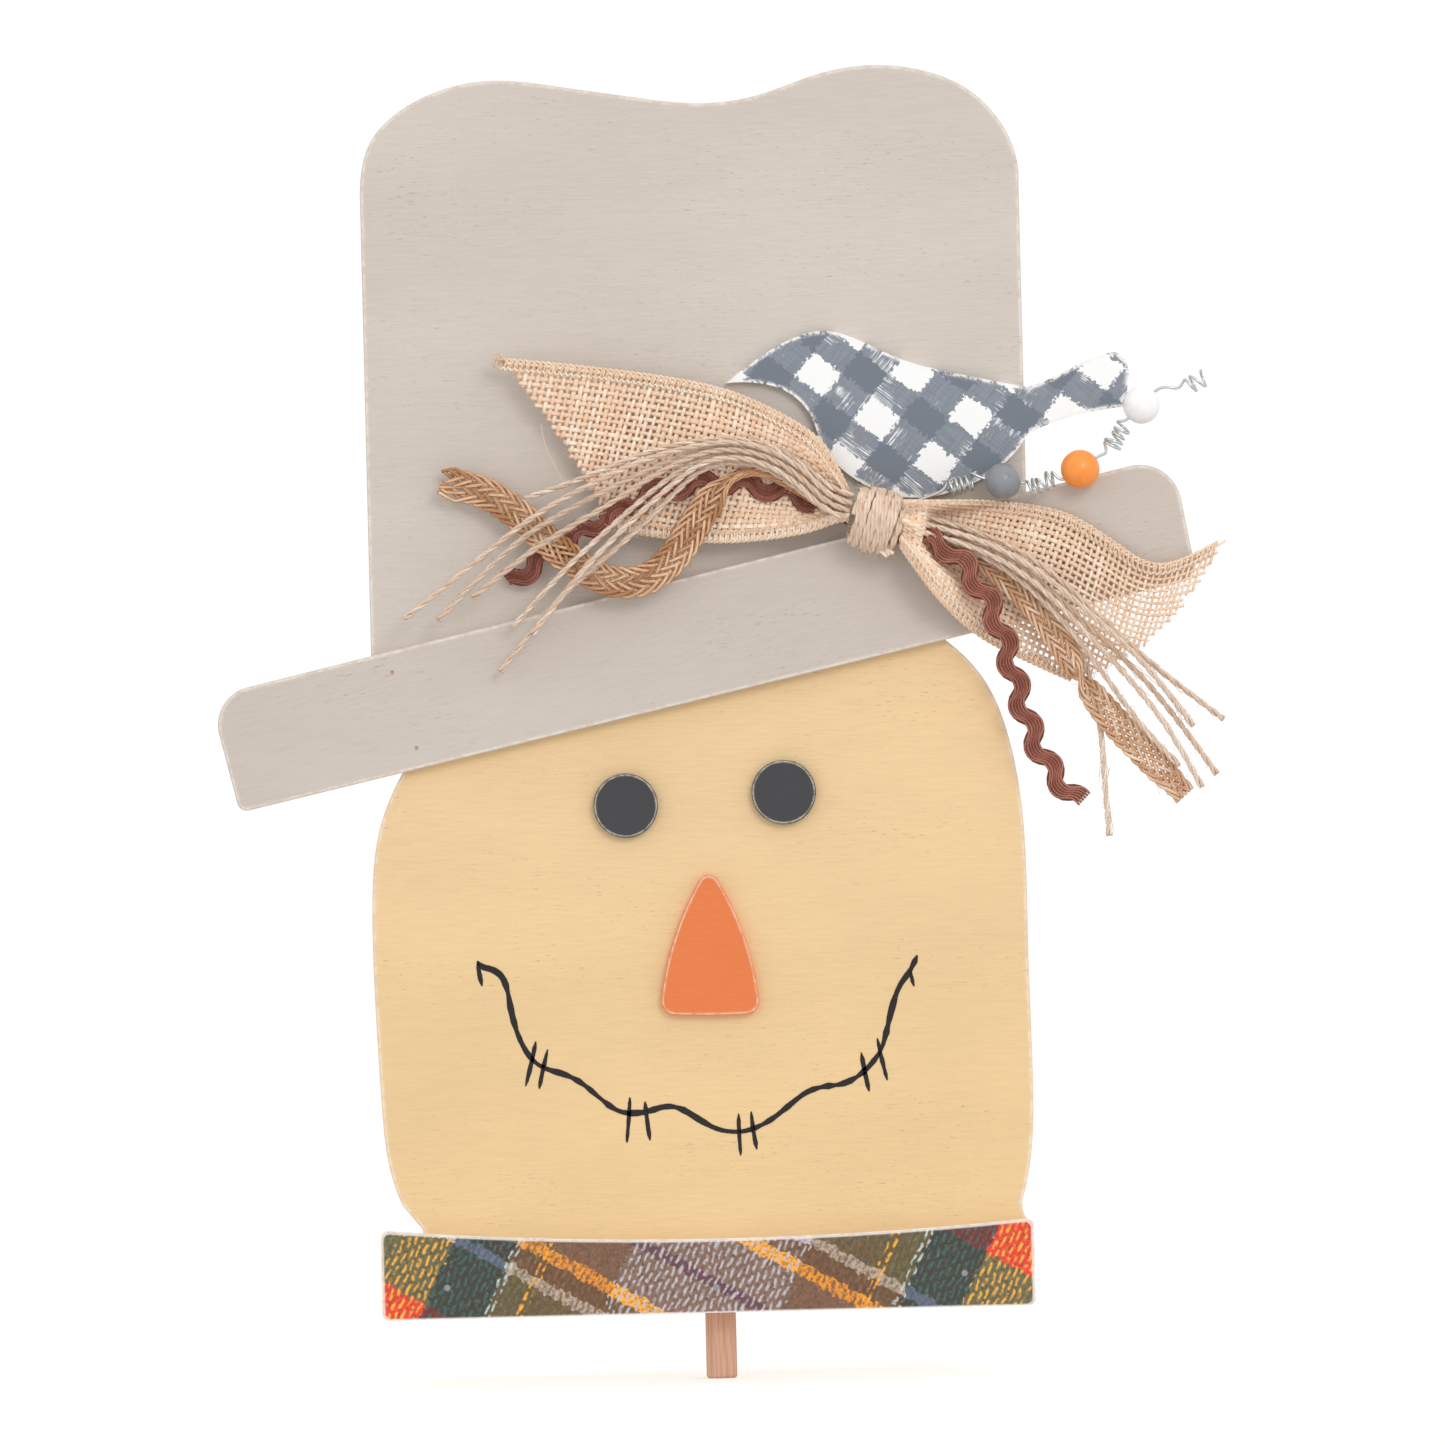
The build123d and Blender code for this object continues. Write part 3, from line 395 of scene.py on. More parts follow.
def wander(tree, scale, by):
    """The place in the object's own frame, moved about at random by up to this distance."""
    noise = put(tree, "TexNoise", {"Vector": place(tree), "Scale": scale, "Detail": 3})
    moved = put(tree, "VectorMath", {0: noise.outputs["Color"], 1: (by, by, by)}, operation="MULTIPLY")
    where = put(tree, "TexCoord").outputs["Object"]
    return put(tree, "SeparateXYZ", {0: put(tree, "VectorMath", {0: moved.outputs[0], 1: where}).outputs[0]})


def across(tree, axes, lean):
    """Distance in millimetres across a direction in the figure's plane."""
    rise = times(tree, axes.outputs["Z"], 1000 * math.sin(lean))
    return reckon(tree, "MULTIPLY_ADD", axes.outputs["X"], 1000 * math.cos(lean), rise)


def from_middle(tree, value, middle):
    """Distance to either side of a middle line."""
    return reckon(tree, "ABSOLUTE", reckon(tree, "SUBTRACT", value, middle))


def folded(tree, value, lift=100.0):
    """How far a value is past a whole number, up to a half and back. The lift keeps it above 0."""
    return reckon(tree, "PINGPONG", reckon(tree, "ADD", value, lift), 0.5)


def printed_plaid(name, brads):
    """Paper printed with the plaid, fuzzed as brushed wool is, and white where its edge is sanded."""
    material, tree, shader = new_shader(name, (1, 1, 1, 1), 0.5)
    swayed = wander(tree, 190, DASH_SWAY)
    frayed = wander(tree, 520, BAND_FRAY)
    warp_at = from_middle(tree, across(tree, frayed, WARP_LEAN), WARP_MIDDLE + BAND_DRIFT)
    weft_at = from_middle(tree, across(tree, frayed, WEFT_LEAN), WEFT_MIDDLE + BAND_DRIFT)
    shaded = {0: bands(tree, weft_at, WEFT_GROUND), 1: bands(tree, warp_at, WARP_SHADE)}
    ground = put(tree, "VectorMath", shaded, operation="MULTIPLY").outputs[0]
    mottle = cloud(tree, place(tree, shift=(0.1, 0, 0.3)), 1000, 3, 0.7)
    ground = coat(tree, step(tree, mottle, 0.50, 0.58, 0.0, 0.55), ground, paint(60, 62, 52))

    # the dashes stand in columns, and those of each column begin a little after the last one's
    column = reckon(tree, "DIVIDE", across(tree, swayed, WARP_LEAN), DASH_WIDE)
    later = times(tree, reckon(tree, "FLOOR", column), 0.618)
    along = across(tree, swayed, WARP_LEAN + math.pi / 2)
    row = reckon(tree, "MULTIPLY_ADD", along, 1 / DASH_LONG, later)
    in_column = step(tree, folded(tree, column), 0.20, 0.38)
    in_row = step(tree, folded(tree, row, 50.0), 0.06, 0.22)
    thin_spots = step(tree, cloud(tree, place(tree), 420, 3, 0.7), 0.36, 0.54, 0.15, 0.92)
    dash = times(tree, times(tree, in_column, in_row), thin_spots)
    plaid = coat(tree, dash, ground, bands(tree, warp_at, WARP_DASHES))

    wool = cloud(tree, place(tree, turn=(0, WEFT_LEAN, 0), stretch=(0.4, 1, 1)), 1500, 4, 0.75)
    plaid = coat(tree, step(tree, wool, 0.50, 0.70, 0.0, 0.5), plaid, paint(58, 40, 34))
    plaid = coat(tree, step(tree, wool, 0.44, 0.28, 0.0, 0.22), plaid, paint(214, 190, 170))
    sanded = times(tree, sharp_edges(tree, 0.0010), clear_of(tree, brads, 0.002))
    plaid = coat(tree, sanded, plaid, paint(240, 232, 226))
    tree.links.new(plaid, shader.inputs["Base Color"])
    return material


finish_node("collar_paper", printed_plaid("printed_plaid", COLLAR_BRADS))


# ==== Crow =====================================================================================
# A thin plywood bird glued on the crown, painted white, with a slate check brushed over it in
# two passes: the crossings are solid, and a single pass lets the white show through its streaks.
CHECK_AT = (0.0552, 0.2754)         # middle of one white square
CHECK_LONG = (0.0178, -0.0140)      # from one white square to the next, down the body
CHECK_ACROSS = (0.0114, 0.0139)     # and up across it
CHECK_AREA = CHECK_LONG[0] * CHECK_ACROSS[1] - CHECK_LONG[1] * CHECK_ACROSS[0]
CHECK_FRAY = 0.0044                 # how ragged the stripes' sides are
STREAK_SWAY = 0.0010
BRISTLES = 54.0                     # streaks in the width of a square
STREAK_LENGTH = 1.7                 # streaks end to end in its length


def check_shares(tree, axes):
    """How many squares a place lies down the body and up across it."""
    x = reckon(tree, "SUBTRACT", axes.outputs["X"], CHECK_AT[0] + CHECK_FRAY / 2)
    z = reckon(tree, "SUBTRACT", axes.outputs["Z"], CHECK_AT[1] + CHECK_FRAY / 2)
    down = times(tree, z, -CHECK_ACROSS[0] / CHECK_AREA)
    up = times(tree, z, CHECK_LONG[0] / CHECK_AREA)
    return (
        reckon(tree, "MULTIPLY_ADD", x, CHECK_ACROSS[1] / CHECK_AREA, down),
        reckon(tree, "MULTIPLY_ADD", x, -CHECK_LONG[1] / CHECK_AREA, up),
    )


def bristle_streaks(tree, crosswise, lengthwise, shift):
    """Streaks along a pass of the brush."""
    bristles = put(tree, "CombineXYZ", {
        "X": reckon(tree, "MULTIPLY_ADD", crosswise, BRISTLES, shift),
        "Y": times(tree, lengthwise, STREAK_LENGTH),
    }).outputs[0]
    return cloud(tree, bristles, 1.0, 4, 0.65)


def brushed_check(name):
    """White paint with the slate check brushed over it, rubbed thin here and there at the edges."""
    material, tree, shader = new_shader(name, (1, 1, 1, 1), 0.7)
    down_share, up_share = check_shares(tree, wander(tree, 950, CHECK_FRAY))
    stripe_down = step(tree, folded(tree, down_share), 0.235, 0.250)
    stripe_up = step(tree, folded(tree, up_share), 0.250, 0.265)
    smooth_down, smooth_up = check_shares(tree, wander(tree, 60, STREAK_SWAY))
    streak_down = bristle_streaks(tree, smooth_down, smooth_up, 0.0)
    streak_up = bristle_streaks(tree, smooth_up, smooth_down, 40.0)

    # where the brush carries less paint, a single pass lets more of the white through
    load = cloud(tree, place(tree, shift=(0.2, 0, 0.1)), 95, 3)
    load = step(tree, load, 0.36, 0.66, -0.16, 0.16)
    dry_down, dry_up = (
        step(tree, reckon(tree, "ADD", streak, load), 0.27, 0.345) for streak in (streak_down, streak_up)
    )
    single_down = times(tree, stripe_down, dry_down)
    single_up = times(tree, stripe_up, dry_up)
    single = reckon(tree, "MAXIMUM", single_down, single_up)
    thin = step(tree, times(tree, streak_down, streak_up), 0.14, 0.36)
    thin = coat(tree, thin, paint(121, 128, 139), paint(141, 147, 156))
    shown = coat(tree, single, paint(244, 244, 243), thin)

    both = times(tree, stripe_down, stripe_up)
    scratches = step(tree, reckon(tree, "MINIMUM", streak_down, streak_up), 0.27, 0.33, 0.35, 1.0)
    shown = coat(tree, times(tree, both, scratches), shown, paint(111, 119, 130))
    rubbed = step(tree, cloud(tree, place(tree), 420, 4, 0.75), 0.42, 0.52)
    rubbed = times(tree, sharp_edges(tree, 0.0030), rubbed)
    shown = coat(tree, rubbed, shown, paint(242, 238, 234))
    tree.links.new(shown, shader.inputs["Base Color"])
    rough_up(tree, shader, streak_down, 0.2, 0.0002)
    return material


finish_node("crow", brushed_check("crow_paint"))


# ==== Peg, brads and glue ======================================================================
# A hardwood dowel glued up into the foot, steel pin brads driven through the brim and the collar,
# and the hot glue that holds the bow's knot on the brim.
dowel, dowel_tree, dowel_shader = new_shader("dowel", (1, 1, 1, 1), 0.6)
dowel_grain = cloud(dowel_tree, place(dowel_tree, stretch=(1, 1, 0.05)), 900, 4, 0.6)
dowel_grain = step(dowel_tree, dowel_grain, 0.3, 0.75)
dowel_tone = coat(dowel_tree, dowel_grain, paint(204, 163, 138), paint(178, 130, 105))
dowel_tree.links.new(dowel_tone, dowel_shader.inputs["Base Color"])
finish_node("peg", dowel)


def lumpy(name, colour, roughness, lumps, strength, distance=0.0001, detail=3):
    """A material of one colour with small lumps or pits. lumps is about how many are in a metre."""
    material, tree, shader = new_shader(name, paint(*colour), roughness)
    rough_up(tree, shader, cloud(tree, place(tree), lumps, detail), strength, distance)
    return material, shader


steel, steel_shader = lumpy("brad_steel", (150, 150, 154), 0.32, lumps=3000, strength=0.3)
steel_shader.inputs["Metallic"].default_value = 1.0
finish_node("collar_brads", steel)

# the brim's brads are punched below the face; their faint rust tint is painted pale, a painted light that
# lifts the shade of their holes
sunk, _ = lumpy("sunk_brad", (226, 176, 156), 0.7, lumps=2500, strength=0.4)
finish_node("brim_brads", sunk)

glue, glue_shader = lumpy(
    "hot_glue", (236, 228, 206), 0.25, lumps=400, strength=0.4, distance=0.0004, detail=2,
)
glue_shader.inputs["Transmission Weight"].default_value = 0.5
finish_node("bow_glue", glue)


# ==== Burlap bow ===============================================================================
# A length of two-inch burlap ribbon, pinched in the middle. It is plain woven from flattened
# single jute yarns, its selvedges are whipped over with thread, and its ends are cut on the slant.
PITCH_WARP = 2.17        # from one lengthwise yarn to the next, millimetres
PITCH_WEFT = 1.95
RIBBON_WIDTH = 50.8
WARPS = int(RIBBON_WIDTH / PITCH_WARP)
YARN_WIDE = 1.50
WEFT_WIDE = YARN_WIDE * 0.96
WEFT_BOW = 0.8           # how far a crosswise yarn bows at the middle of the width
YARN_THIN = 0.62
YARN_RISE = 0.40         # how far a yarn rises and falls at each crossing
CLOTH_STEP = 0.5
EDGE_BEYOND = 70.0       # how far the edges' lines go on past the cut
RIBBON_DEEP = -17.1      # the ribbon's middle, from the board's middle
PINCH_BACK = -18.6       # at the knot the upper half lies behind the tails
PINCH_FRONT = -28.2      # and the lower half folds over in front of them
PINCH_SHUT = -29.4       # on the right all of it does, close to the knot
GATHER_OVER = 14.0       # how soon the pinch spreads out
GATHER_CROWD = 0.05      # how much its pleats crowd the yarns, as a share of the width
PLEAT_DEEP = 1.4
SHUT_MIDDLE = 0.62       # where across the width the shut cloth opens first
STITCH = 1.75            # from one whipped stitch to the next
END_HAIRS = 3            # loose fibres at the end of each lengthwise yarn
FUZZ = 260               # and all over each side of the bow
ROUND_SIDE = (0.31, 1, 0.23)     # a wide axis for round strands, along which none of them runs
loom = np.random.default_rng(11)


def strand(line, side, width, depth, corners=6):
    """An oval strand carried along a line. side is the direction of its wide axis."""
    line = np.asarray(line, float)
    run = np.gradient(line, axis=0)
    run /= np.linalg.norm(run, axis=1)[:, None]
    wide = np.broadcast_to(np.asarray(side, float), line.shape)
    wide = wide - run * np.sum(wide * run, axis=1)[:, None]
    wide /= np.linalg.norm(wide, axis=1)[:, None]
    thin = np.cross(run, wide)
    turn = np.arange(corners) * 2 * math.pi / corners
    half_wide = np.broadcast_to(np.asarray(width, float) / 2, (len(line),))
    half_thin = np.broadcast_to(np.asarray(depth, float) / 2, (len(line),))
    rings = (
        line[:, None, :]
        + wide[:, None, :] * (half_wide[:, None] * np.cos(turn))[:, :, None]
        + thin[:, None, :] * (half_thin[:, None] * np.sin(turn))[:, :, None]
    )
    ring = np.arange(len(line) - 1)[:, None] * corners
    here = np.arange(corners)[None, :]
    after = (here + 1) % corners
    quads = np.stack([ring + here, ring + after, ring + corners + after, ring + corners + here], axis=2)
    return rings.reshape(-1, 3), quads.reshape(-1, 4), reach_along(line), corners


def lay_piece(name, strands, material, body="figure"):
    """Join strands into one piece.

    Its map, "lay", says how far round and along a strand each point lies, and "tone" is a random
    shade for each strand.
    """
    points, faces, marks, tones, ends = [], [], [], [], []
    first = 0
    shade = random.Random(name)
    for rings, quads, reach, corners in strands:
        points.append(rings)
        faces.append(quads + first)
        ends.append(list(range(first + corners - 1, first - 1, -1)))
        first += len(rings)
        ends.append(list(range(first - corners, first)))
        round_it = (np.arange(corners) / corners)[quads % corners]
        seam = quads[:, 1] % corners == 0
        round_it[seam, 1:3] = 1.0
        marks.append(np.stack([round_it, reach[quads // corners]], axis=2).reshape(-1, 2))
        tones.append(np.full(len(rings), shade.random()))
    mesh = bpy.data.meshes.new(name)
    mesh.from_pydata(np.concatenate(points).tolist(), [], np.concatenate(faces).tolist() + ends)
    mesh.polygons.foreach_set("use_smooth", [True] * len(mesh.polygons))
    lay = mesh.uv_layers.new(name="lay")
    capped = np.zeros(2 * sum(map(len, ends)))
    lay.data.foreach_set("uv", np.concatenate([np.concatenate(marks).ravel(), capped]))
    tone = mesh.attributes.new("tone", "FLOAT", "POINT")
    tone.data.foreach_set("value", np.concatenate(tones))
    return new_piece(name, mesh, material, body)


def fibre(name, light, dark, twist=0.3, depth=0.5, flank_shade=0.0):
    """Plant fibre, with a tone of its own for each strand.

    Fine lines run along a strand and are wound round it by its twist. depth is how rough they are,
    and flank_shade how much painted shade darkens a strand's flanks, where it lies against the next one.
    """
    material, tree, shader = new_shader(name, (1, 1, 1, 1), 0.9)
    lay = put(tree, "SeparateXYZ", {0: put(tree, "UVMap", uv_map="lay").outputs[0]}).outputs
    wound = reckon(tree, "MULTIPLY_ADD", lay["Y"], 260.0 * twist, lay["X"])
    spread = put(tree, "CombineXYZ", {
        "X": times(tree, wound, 7.0), "Y": times(tree, lay["Y"], 150.0),
    }).outputs[0]
    lines = cloud(tree, spread, 1.6, 4, 0.7)
    tone = put(tree, "Attribute", attribute_name="tone").outputs["Fac"]
    patch = cloud(tree, place(tree), 160, 3)
    share = reckon(tree, "MULTIPLY_ADD", tone, 0.35, times(tree, lines, 0.9))
    share = reckon(tree, "MULTIPLY_ADD", patch, 0.35, reckon(tree, "SUBTRACT", share, 0.34))
    # painted shade: a strand's flanks are darkened where it lies against its neighbour
    if flank_shade:
        flank = reckon(tree, "PINGPONG", times(tree, lay["X"], 2.0), 0.5)
        share = reckon(tree, "MULTIPLY_ADD", step(tree, flank, 0.20, 0.02), -flank_shade, share)
    colour = coat(tree, step(tree, share, 0.25, 0.85), paint(*dark), paint(*light))
    tree.links.new(colour, shader.inputs["Base Color"])
    shader.inputs["Specular IOR Level"].default_value = 0.15
    rough_up(tree, shader, lines, depth, 0.00025)
    return material


def hair(root, lean, length, curl=0.5, steps=4, thick=0.00010):
    """One loose fibre: it leaves its root along a direction and wanders as it goes."""
    lean = np.asarray(lean, float) / np.linalg.norm(lean)
    path = [np.asarray(root, float)]
    for _ in range(steps):
        lean = lean + loom.normal(0, curl, 3)
        lean /= np.linalg.norm(lean)
        path.append(path[-1] + lean * length / steps)
    return strand(path, ROUND_SIDE, thick, thick, corners=3)


burlap_fibre = fibre("burlap_fibre", (255, 243, 224), (240, 205, 175), flank_shade=0.35)
selvedge_thread = fibre("selvedge_thread", (255, 244, 226), (232, 200, 170), flank_shade=0.5)


def edge_line(guides):
    """Where an edge of the ribbon runs, as X and Z in millimetres, and how far it is to the cut."""
    route = [(x / 1000, 0, z / 1000) for x, z in guides]
    smooth = laid_line(route, CLOTH_STEP / 1000)[:, (0, 2)] * 1000
    # run on straight past the cut for the parts of the cloth that reach further
    onward = smooth[-1] - smooth[-8]
    onward /= np.linalg.norm(onward)
    beyond = smooth[-1] + onward * np.arange(CLOTH_STEP, EDGE_BEYOND, CLOTH_STEP)[:, None]
    return np.concatenate([smooth, beyond]), (len(smooth) - 1) * CLOTH_STEP


def ease(value, low, high):
    """0 below low, 1 above high and smooth between."""
    share = np.clip((value - low) / (high - low), 0, 1)
    return share * share * (3 - 2 * share)


def uneven(at, spacing, size):
    """A slow random drift along a yarn."""
    knots = np.arange(0, at[-1] + 2 * spacing, spacing)
    return np.interp(at, knots, loom.normal(0, size, len(knots)))


class Panel:
    """One side of the bow as a surface, in millimetres.

    s runs out from the knot, and v across from 0 at the lower edge to 1 at the upper one. The cut
    is bent by cut_bend and uneven by up to ragged. A wave is its height, its turning along s and v,
    and its start. Towards the cut the yarns are thinner by open_end, and so further apart.
    """

    def __init__(self, low_guides, high_guides, cut_bend, ragged, pleats, waves, shut, open_end):
        self.low, self.low_reach = edge_line(low_guides)
        self.high, self.high_reach = edge_line(high_guides)
        self.cut_bend = cut_bend
        self.ragged = ragged
        self.pleats = pleats
        self.waves = waves
        self.shut = shut
        self.open_end = open_end

    def reach_at(self, v):
        """How far from the knot the cloth is cut."""
        return self.low_reach + (self.high_reach - self.low_reach) * v ** self.cut_bend

    def thinning(self, s, v):
        """The width of a yarn here, as a share."""
        return 1 - self.open_end * np.clip((s / self.reach_at(v) - 0.45) / 0.45, 0, 1)

    def edges_at(self, s):
        """The two edges' points at this distance from the knot."""
        index = np.clip(s / CLOTH_STEP, 0, min(len(self.low), len(self.high)) - 1.001)
        whole = index.astype(int)
        part = (index - whole)[:, None]
        return [edge[whole] * (1 - part) + edge[whole + 1] * part for edge in (self.low, self.high)]

    def depth_at(self, s, v, near):
        """How deep the cloth lies before its pleats and waves."""
        if self.shut:
            # it shuts over the tails, which come out of it past the pinch
            aside = ease(np.abs(v - SHUT_MIDDLE), 0.20, 0.44)
            shut = 1 - ease(s, 7.0 + 8.0 * aside, 13.5 + 26.0 * aside)
            return RIBBON_DEEP + shut * (PINCH_SHUT - RIBBON_DEEP)
        lower = 1 / (1 + np.exp((v - 0.5) / 0.07))
        return RIBBON_DEEP + near * (PINCH_BACK + (PINCH_FRONT - PINCH_BACK) * lower - RIBBON_DEEP)

    def spot(self, s, v):
        """A point of the cloth."""
        a, b = self.edges_at(s)
        near = np.exp(-s / GATHER_OVER)
        crowd = v + near * GATHER_CROWD * np.sin(2 * math.pi * self.pleats * v)
        flat = a * (1 - crowd)[:, None] + b * crowd[:, None]
        deep = self.depth_at(s, v, near)
        deep = deep + near * PLEAT_DEEP * np.cos(2 * math.pi * self.pleats * v + 0.6)
        for size, along, across_it, start in self.waves:
            deep = deep + size * np.sin(along * s + across_it * v + start) * (1 - near)
        return np.stack([flat[:, 0], deep, flat[:, 1]], axis=1)


def yarn(line, wide):
    """A flattened yarn along a line in millimetres, its wide side to the front."""
    side = np.cross(np.gradient(line, axis=0), (0.0, 1.0, 0.0))
    return strand(line / 1000, side, wide / 1000, YARN_THIN / 1000)


def lengthwise_yarns(panel, flip):
    """The yarns that run out from the knot, each with a few fibres at its cut end."""
    strands = []
    for i in range(WARPS):
        v0 = (i + 0.5) / WARPS
        end = panel.reach_at(v0) + loom.uniform(-0.4, panel.ragged)
        s = np.arange(0.5, end, PITCH_WEFT / 2)
        v = v0 + uneven(s, spacing=12, size=0.10) / RIBBON_WIDTH
        line = panel.spot(s, v)
        line[:, 1] += YARN_RISE * np.cos(math.pi * (s / PITCH_WEFT + i)) * flip
        wide = YARN_WIDE * panel.thinning(s, v) * (1 + uneven(s, spacing=9, size=0.12))
        strands.append(yarn(line, wide))
        onward = line[-1] - line[-3]
        for _ in range(END_HAIRS):
            lean = onward + loom.normal(0, 0.6, 3)
            strands.append(hair(line[-1] / 1000, lean, loom.uniform(0.8, 2.6) / 1000))
    return strands


def crosswise_yarns(panel, flip):
    """The yarns from selvedge to selvedge, bowed a little, and short where the cut slants."""
    strands = []
    for j in range(1, int(max(panel.low_reach, panel.high_reach) / PITCH_WEFT) + 1):
        v = np.linspace(0, 1, WARPS * 2 + 1)
        bow = WEFT_BOW * math.sin(j * 0.21) * np.sin(math.pi * v)
        s = j * PITCH_WEFT + bow + uneven(v, spacing=0.17, size=0.12)
        keep = s <= panel.reach_at(v) + loom.uniform(0.0, panel.ragged * 0.6)
        if keep.sum() < 4:
            continue
        v, s = v[keep], s[keep]
        line = panel.spot(s, v)
        line[:, 1] -= YARN_RISE * np.cos(math.pi * (j + v * WARPS - 0.5)) * flip
        wide = WEFT_WIDE * panel.thinning(s, v) * (1 + uneven(v, spacing=0.2, size=0.14))
        strands.append(yarn(line, wide))
    return strands


def fuzz(panel):
    """Loose fibres all over, most of them to the front."""
    strands = []
    for _ in range(FUZZ):
        v = loom.uniform(0.02, 0.98, 1)
        root = panel.spot(loom.uniform(0.1, 1.0, 1) * panel.reach_at(v), v)[0]
        lean = loom.normal(0, 1, 3) + (0, -0.8, 0)
        strands.append(hair(root / 1000, lean, loom.uniform(0.8, 3.0) / 1000, curl=0.7))
    return strands


def weave(name, panel, flip):
    """Weave a panel from the knot outward. flip says which yarns are up first."""
    strands = lengthwise_yarns(panel, flip) + crosswise_yarns(panel, flip) + fuzz(panel)
    return lay_piece(name, strands, burlap_fibre)


def whip(name, panel):
    """Whip both selvedges over, with a chain inside the edge and a two-ply cord along its lip."""
    threads = []
    for edge, inward, reach in ((0.0, 1.0, panel.low_reach), (1.0, -1.0, panel.high_reach)):
        turns = int((reach - 1) / STITCH)
        wind = np.linspace(0, 2 * math.pi * turns, turns * 12)
        s = 0.6 + wind / (2 * math.pi) * STITCH
        # for each thread: how far inside the edge it runs, how far in front, and its width
        stitches = {
            "whip": (1.30 - 1.25 * np.cos(wind), 0.80 * np.sin(wind), 0.72),
            "chain": (2.9 + 0.35 * np.cos(wind), 0.70 + 0.15 * np.sin(wind), 0.75),
            "lip_one": (0.10 + 0.38 * np.cos(wind / 2), 0.38 * np.sin(wind / 2), 0.85),
            "lip_two": (0.10 - 0.38 * np.cos(wind / 2), -0.38 * np.sin(wind / 2), 0.85),
        }
        for in_by, rise, wide in stitches.values():
            a, b = panel.edges_at(s)
            v = np.clip(edge + inward * in_by / np.linalg.norm(b - a, axis=1), -0.12, 1.12)
            line = panel.spot(s, v)
            line[:, 1] -= rise
            threads.append(strand(line / 1000, (1, 0, 0.35), wide / 1000, wide * 0.85 / 1000, corners=5))
    return lay_piece(name, threads, selvedge_thread)


left_panel = Panel(
    [
        (46.0, 243.6), (44.3, 245.0), (34.0, 240.9), (18.4, 238.7), (3.2, 238.2), (-13.2, 240.3),
        (-28.5, 243.5),
    ],
    [
        (46.0, 252.5), (41.0, 264.5), (34.7, 271.8), (19.4, 280.9), (4.4, 286.9), (-26.5, 292.6),
        (-60.8, 296.5),
    ],
    cut_bend=1.15, ragged=1.2, pleats=3, waves=[(1.1, 0.07, 3.1, 0.4), (0.5, 0.15, -6.0, 1.0)],
    shut=False, open_end=0.08,
)
burlap_left = weave("burlap_left", left_panel, flip=1)
left_stitches = whip("burlap_left_stitches", left_panel)
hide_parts("burlap_ribbon")

# the selvedge's threads come undone in a tuft at the upper corner, and one hangs from the cut
corner = np.array([-60.6, -17.4, 295.6]) / 1000
tuft = []
for _ in range(26):
    root = corner + loom.normal(0, 0.0007, 3)
    lean = (-1.0 + loom.normal(0, 0.5), loom.normal(0, 0.25), loom.normal(0.1, 0.7))
    tuft.append(hair(root, lean, loom.uniform(0.0016, 0.0042), curl=0.35, steps=5, thick=0.00034))
hanging = laid_line([
    (-0.0488, -0.0180, 0.2760), (-0.0478, -0.0186, 0.2690), (-0.0452, -0.0184, 0.2640),
    (-0.0428, -0.0182, 0.2590), (-0.0408, -0.0180, 0.2545),
], 0.0008)
tuft.append(strand(hanging, (0.3, 1, 0.2), 0.00028, 0.00028, corners=4))
left_tuft = lay_piece("selvedge_tuft", tuft, selvedge_thread)

right_panel = Panel(
    [(61.0, 236.0), (64.5, 230.5), (73.1, 218.3), (84.3, 207.5), (98.4, 200.0), (114.0, 192.6)],
    [
        (62.0, 249.5), (76.0, 249.2), (90.3, 248.8), (104.5, 246.9), (115.0, 243.9), (126.9, 235.8),
        (136.6, 228.2), (147.0, 227.8), (160.3, 235.0),
    ],
    cut_bend=0.85, ragged=2.8, pleats=2.5, waves=[(1.0, 0.08, 2.6, 2.0), (0.5, 0.13, 5.5, 0.0)],
    shut=True, open_end=0.48,
)
burlap_right = weave("burlap_right", right_panel, flip=-1)
right_stitches = whip("burlap_right_stitches", right_panel)
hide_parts("burlap_ribbon")


# ==== Tails ====================================================================================
# Cut lengths of rick-rack, flat jute plait and two-ply twine are caught under the knot with the
# ribbon and hang out on both sides. Their routes are in millimetres, and their own sizes in metres.
KNOT = (53.9, -23.2, 243.8)      # the knot's middle
KNOT_SLOPE = math.radians(-15.4)
KNOT_LENGTH = 16.5
KNOT_OUT = np.array([math.cos(KNOT_SLOPE), 0, math.sin(KNOT_SLOPE)])
KNOT_UP = np.array([-math.sin(KNOT_SLOPE), 0, math.cos(KNOT_SLOPE)])
RICKRACK_Y = -20.1               # each kind of tail has a depth of its own
BRAID_Y = -22.6
TWINE_Y = -25.6
TWINE_FRONT_Y = -28.2
STRAIGHT_OUT = 7.0               # a tail leaves the knot straight for so far
SETTLE_FROM = -33.0              # past here the left tails ease back on to the crown
SETTLE_OVER = 33.0
SETTLE_BACK = 8.6
SETTLE_LESS = 0.4                # the tails in front go back less, by so much of their lead
TAIL_STEP = 0.0005
fluff = np.random.default_rng(23)


def knot_mouth(side, rise, y):
    """A point on the knot's end face: side -1 is the left one and 1 the right one."""
    point = np.array(KNOT) + KNOT_OUT * (side * KNOT_LENGTH / 2) + KNOT_UP * rise
    point[1] = y
    return point


def settled(lane_y, x):
    """The depth of a left tail at this X, when it lies at lane_y in the knot."""
    back = SETTLE_BACK - SETTLE_LESS * (RICKRACK_Y - lane_y)
    return lane_y + back * float(ease(SETTLE_FROM - x, 0.0, SETTLE_OVER))


def tail_route(side, lane_y, rise, flat):
    """Guide points of a tail in metres, from the knot to the free end."""
    start = knot_mouth(side, rise, lane_y)
    points = [start, start + KNOT_OUT * (side * STRAIGHT_OUT)]
    points += [np.array([x, settled(lane_y, x) if side < 0 else lane_y, z]) for x, z in flat]
    return [tuple(point / 1000) for point in points]


def beside(line):
    """Unit directions at each point of a line: across it in the figure's plane, and square to both."""
    run = np.gradient(line, axis=0)
    run /= np.linalg.norm(run, axis=1)[:, None]
    cross = np.cross(run, (0, 1, 0))
    cross /= np.linalg.norm(cross, axis=1)[:, None]
    return cross, np.cross(run, cross)


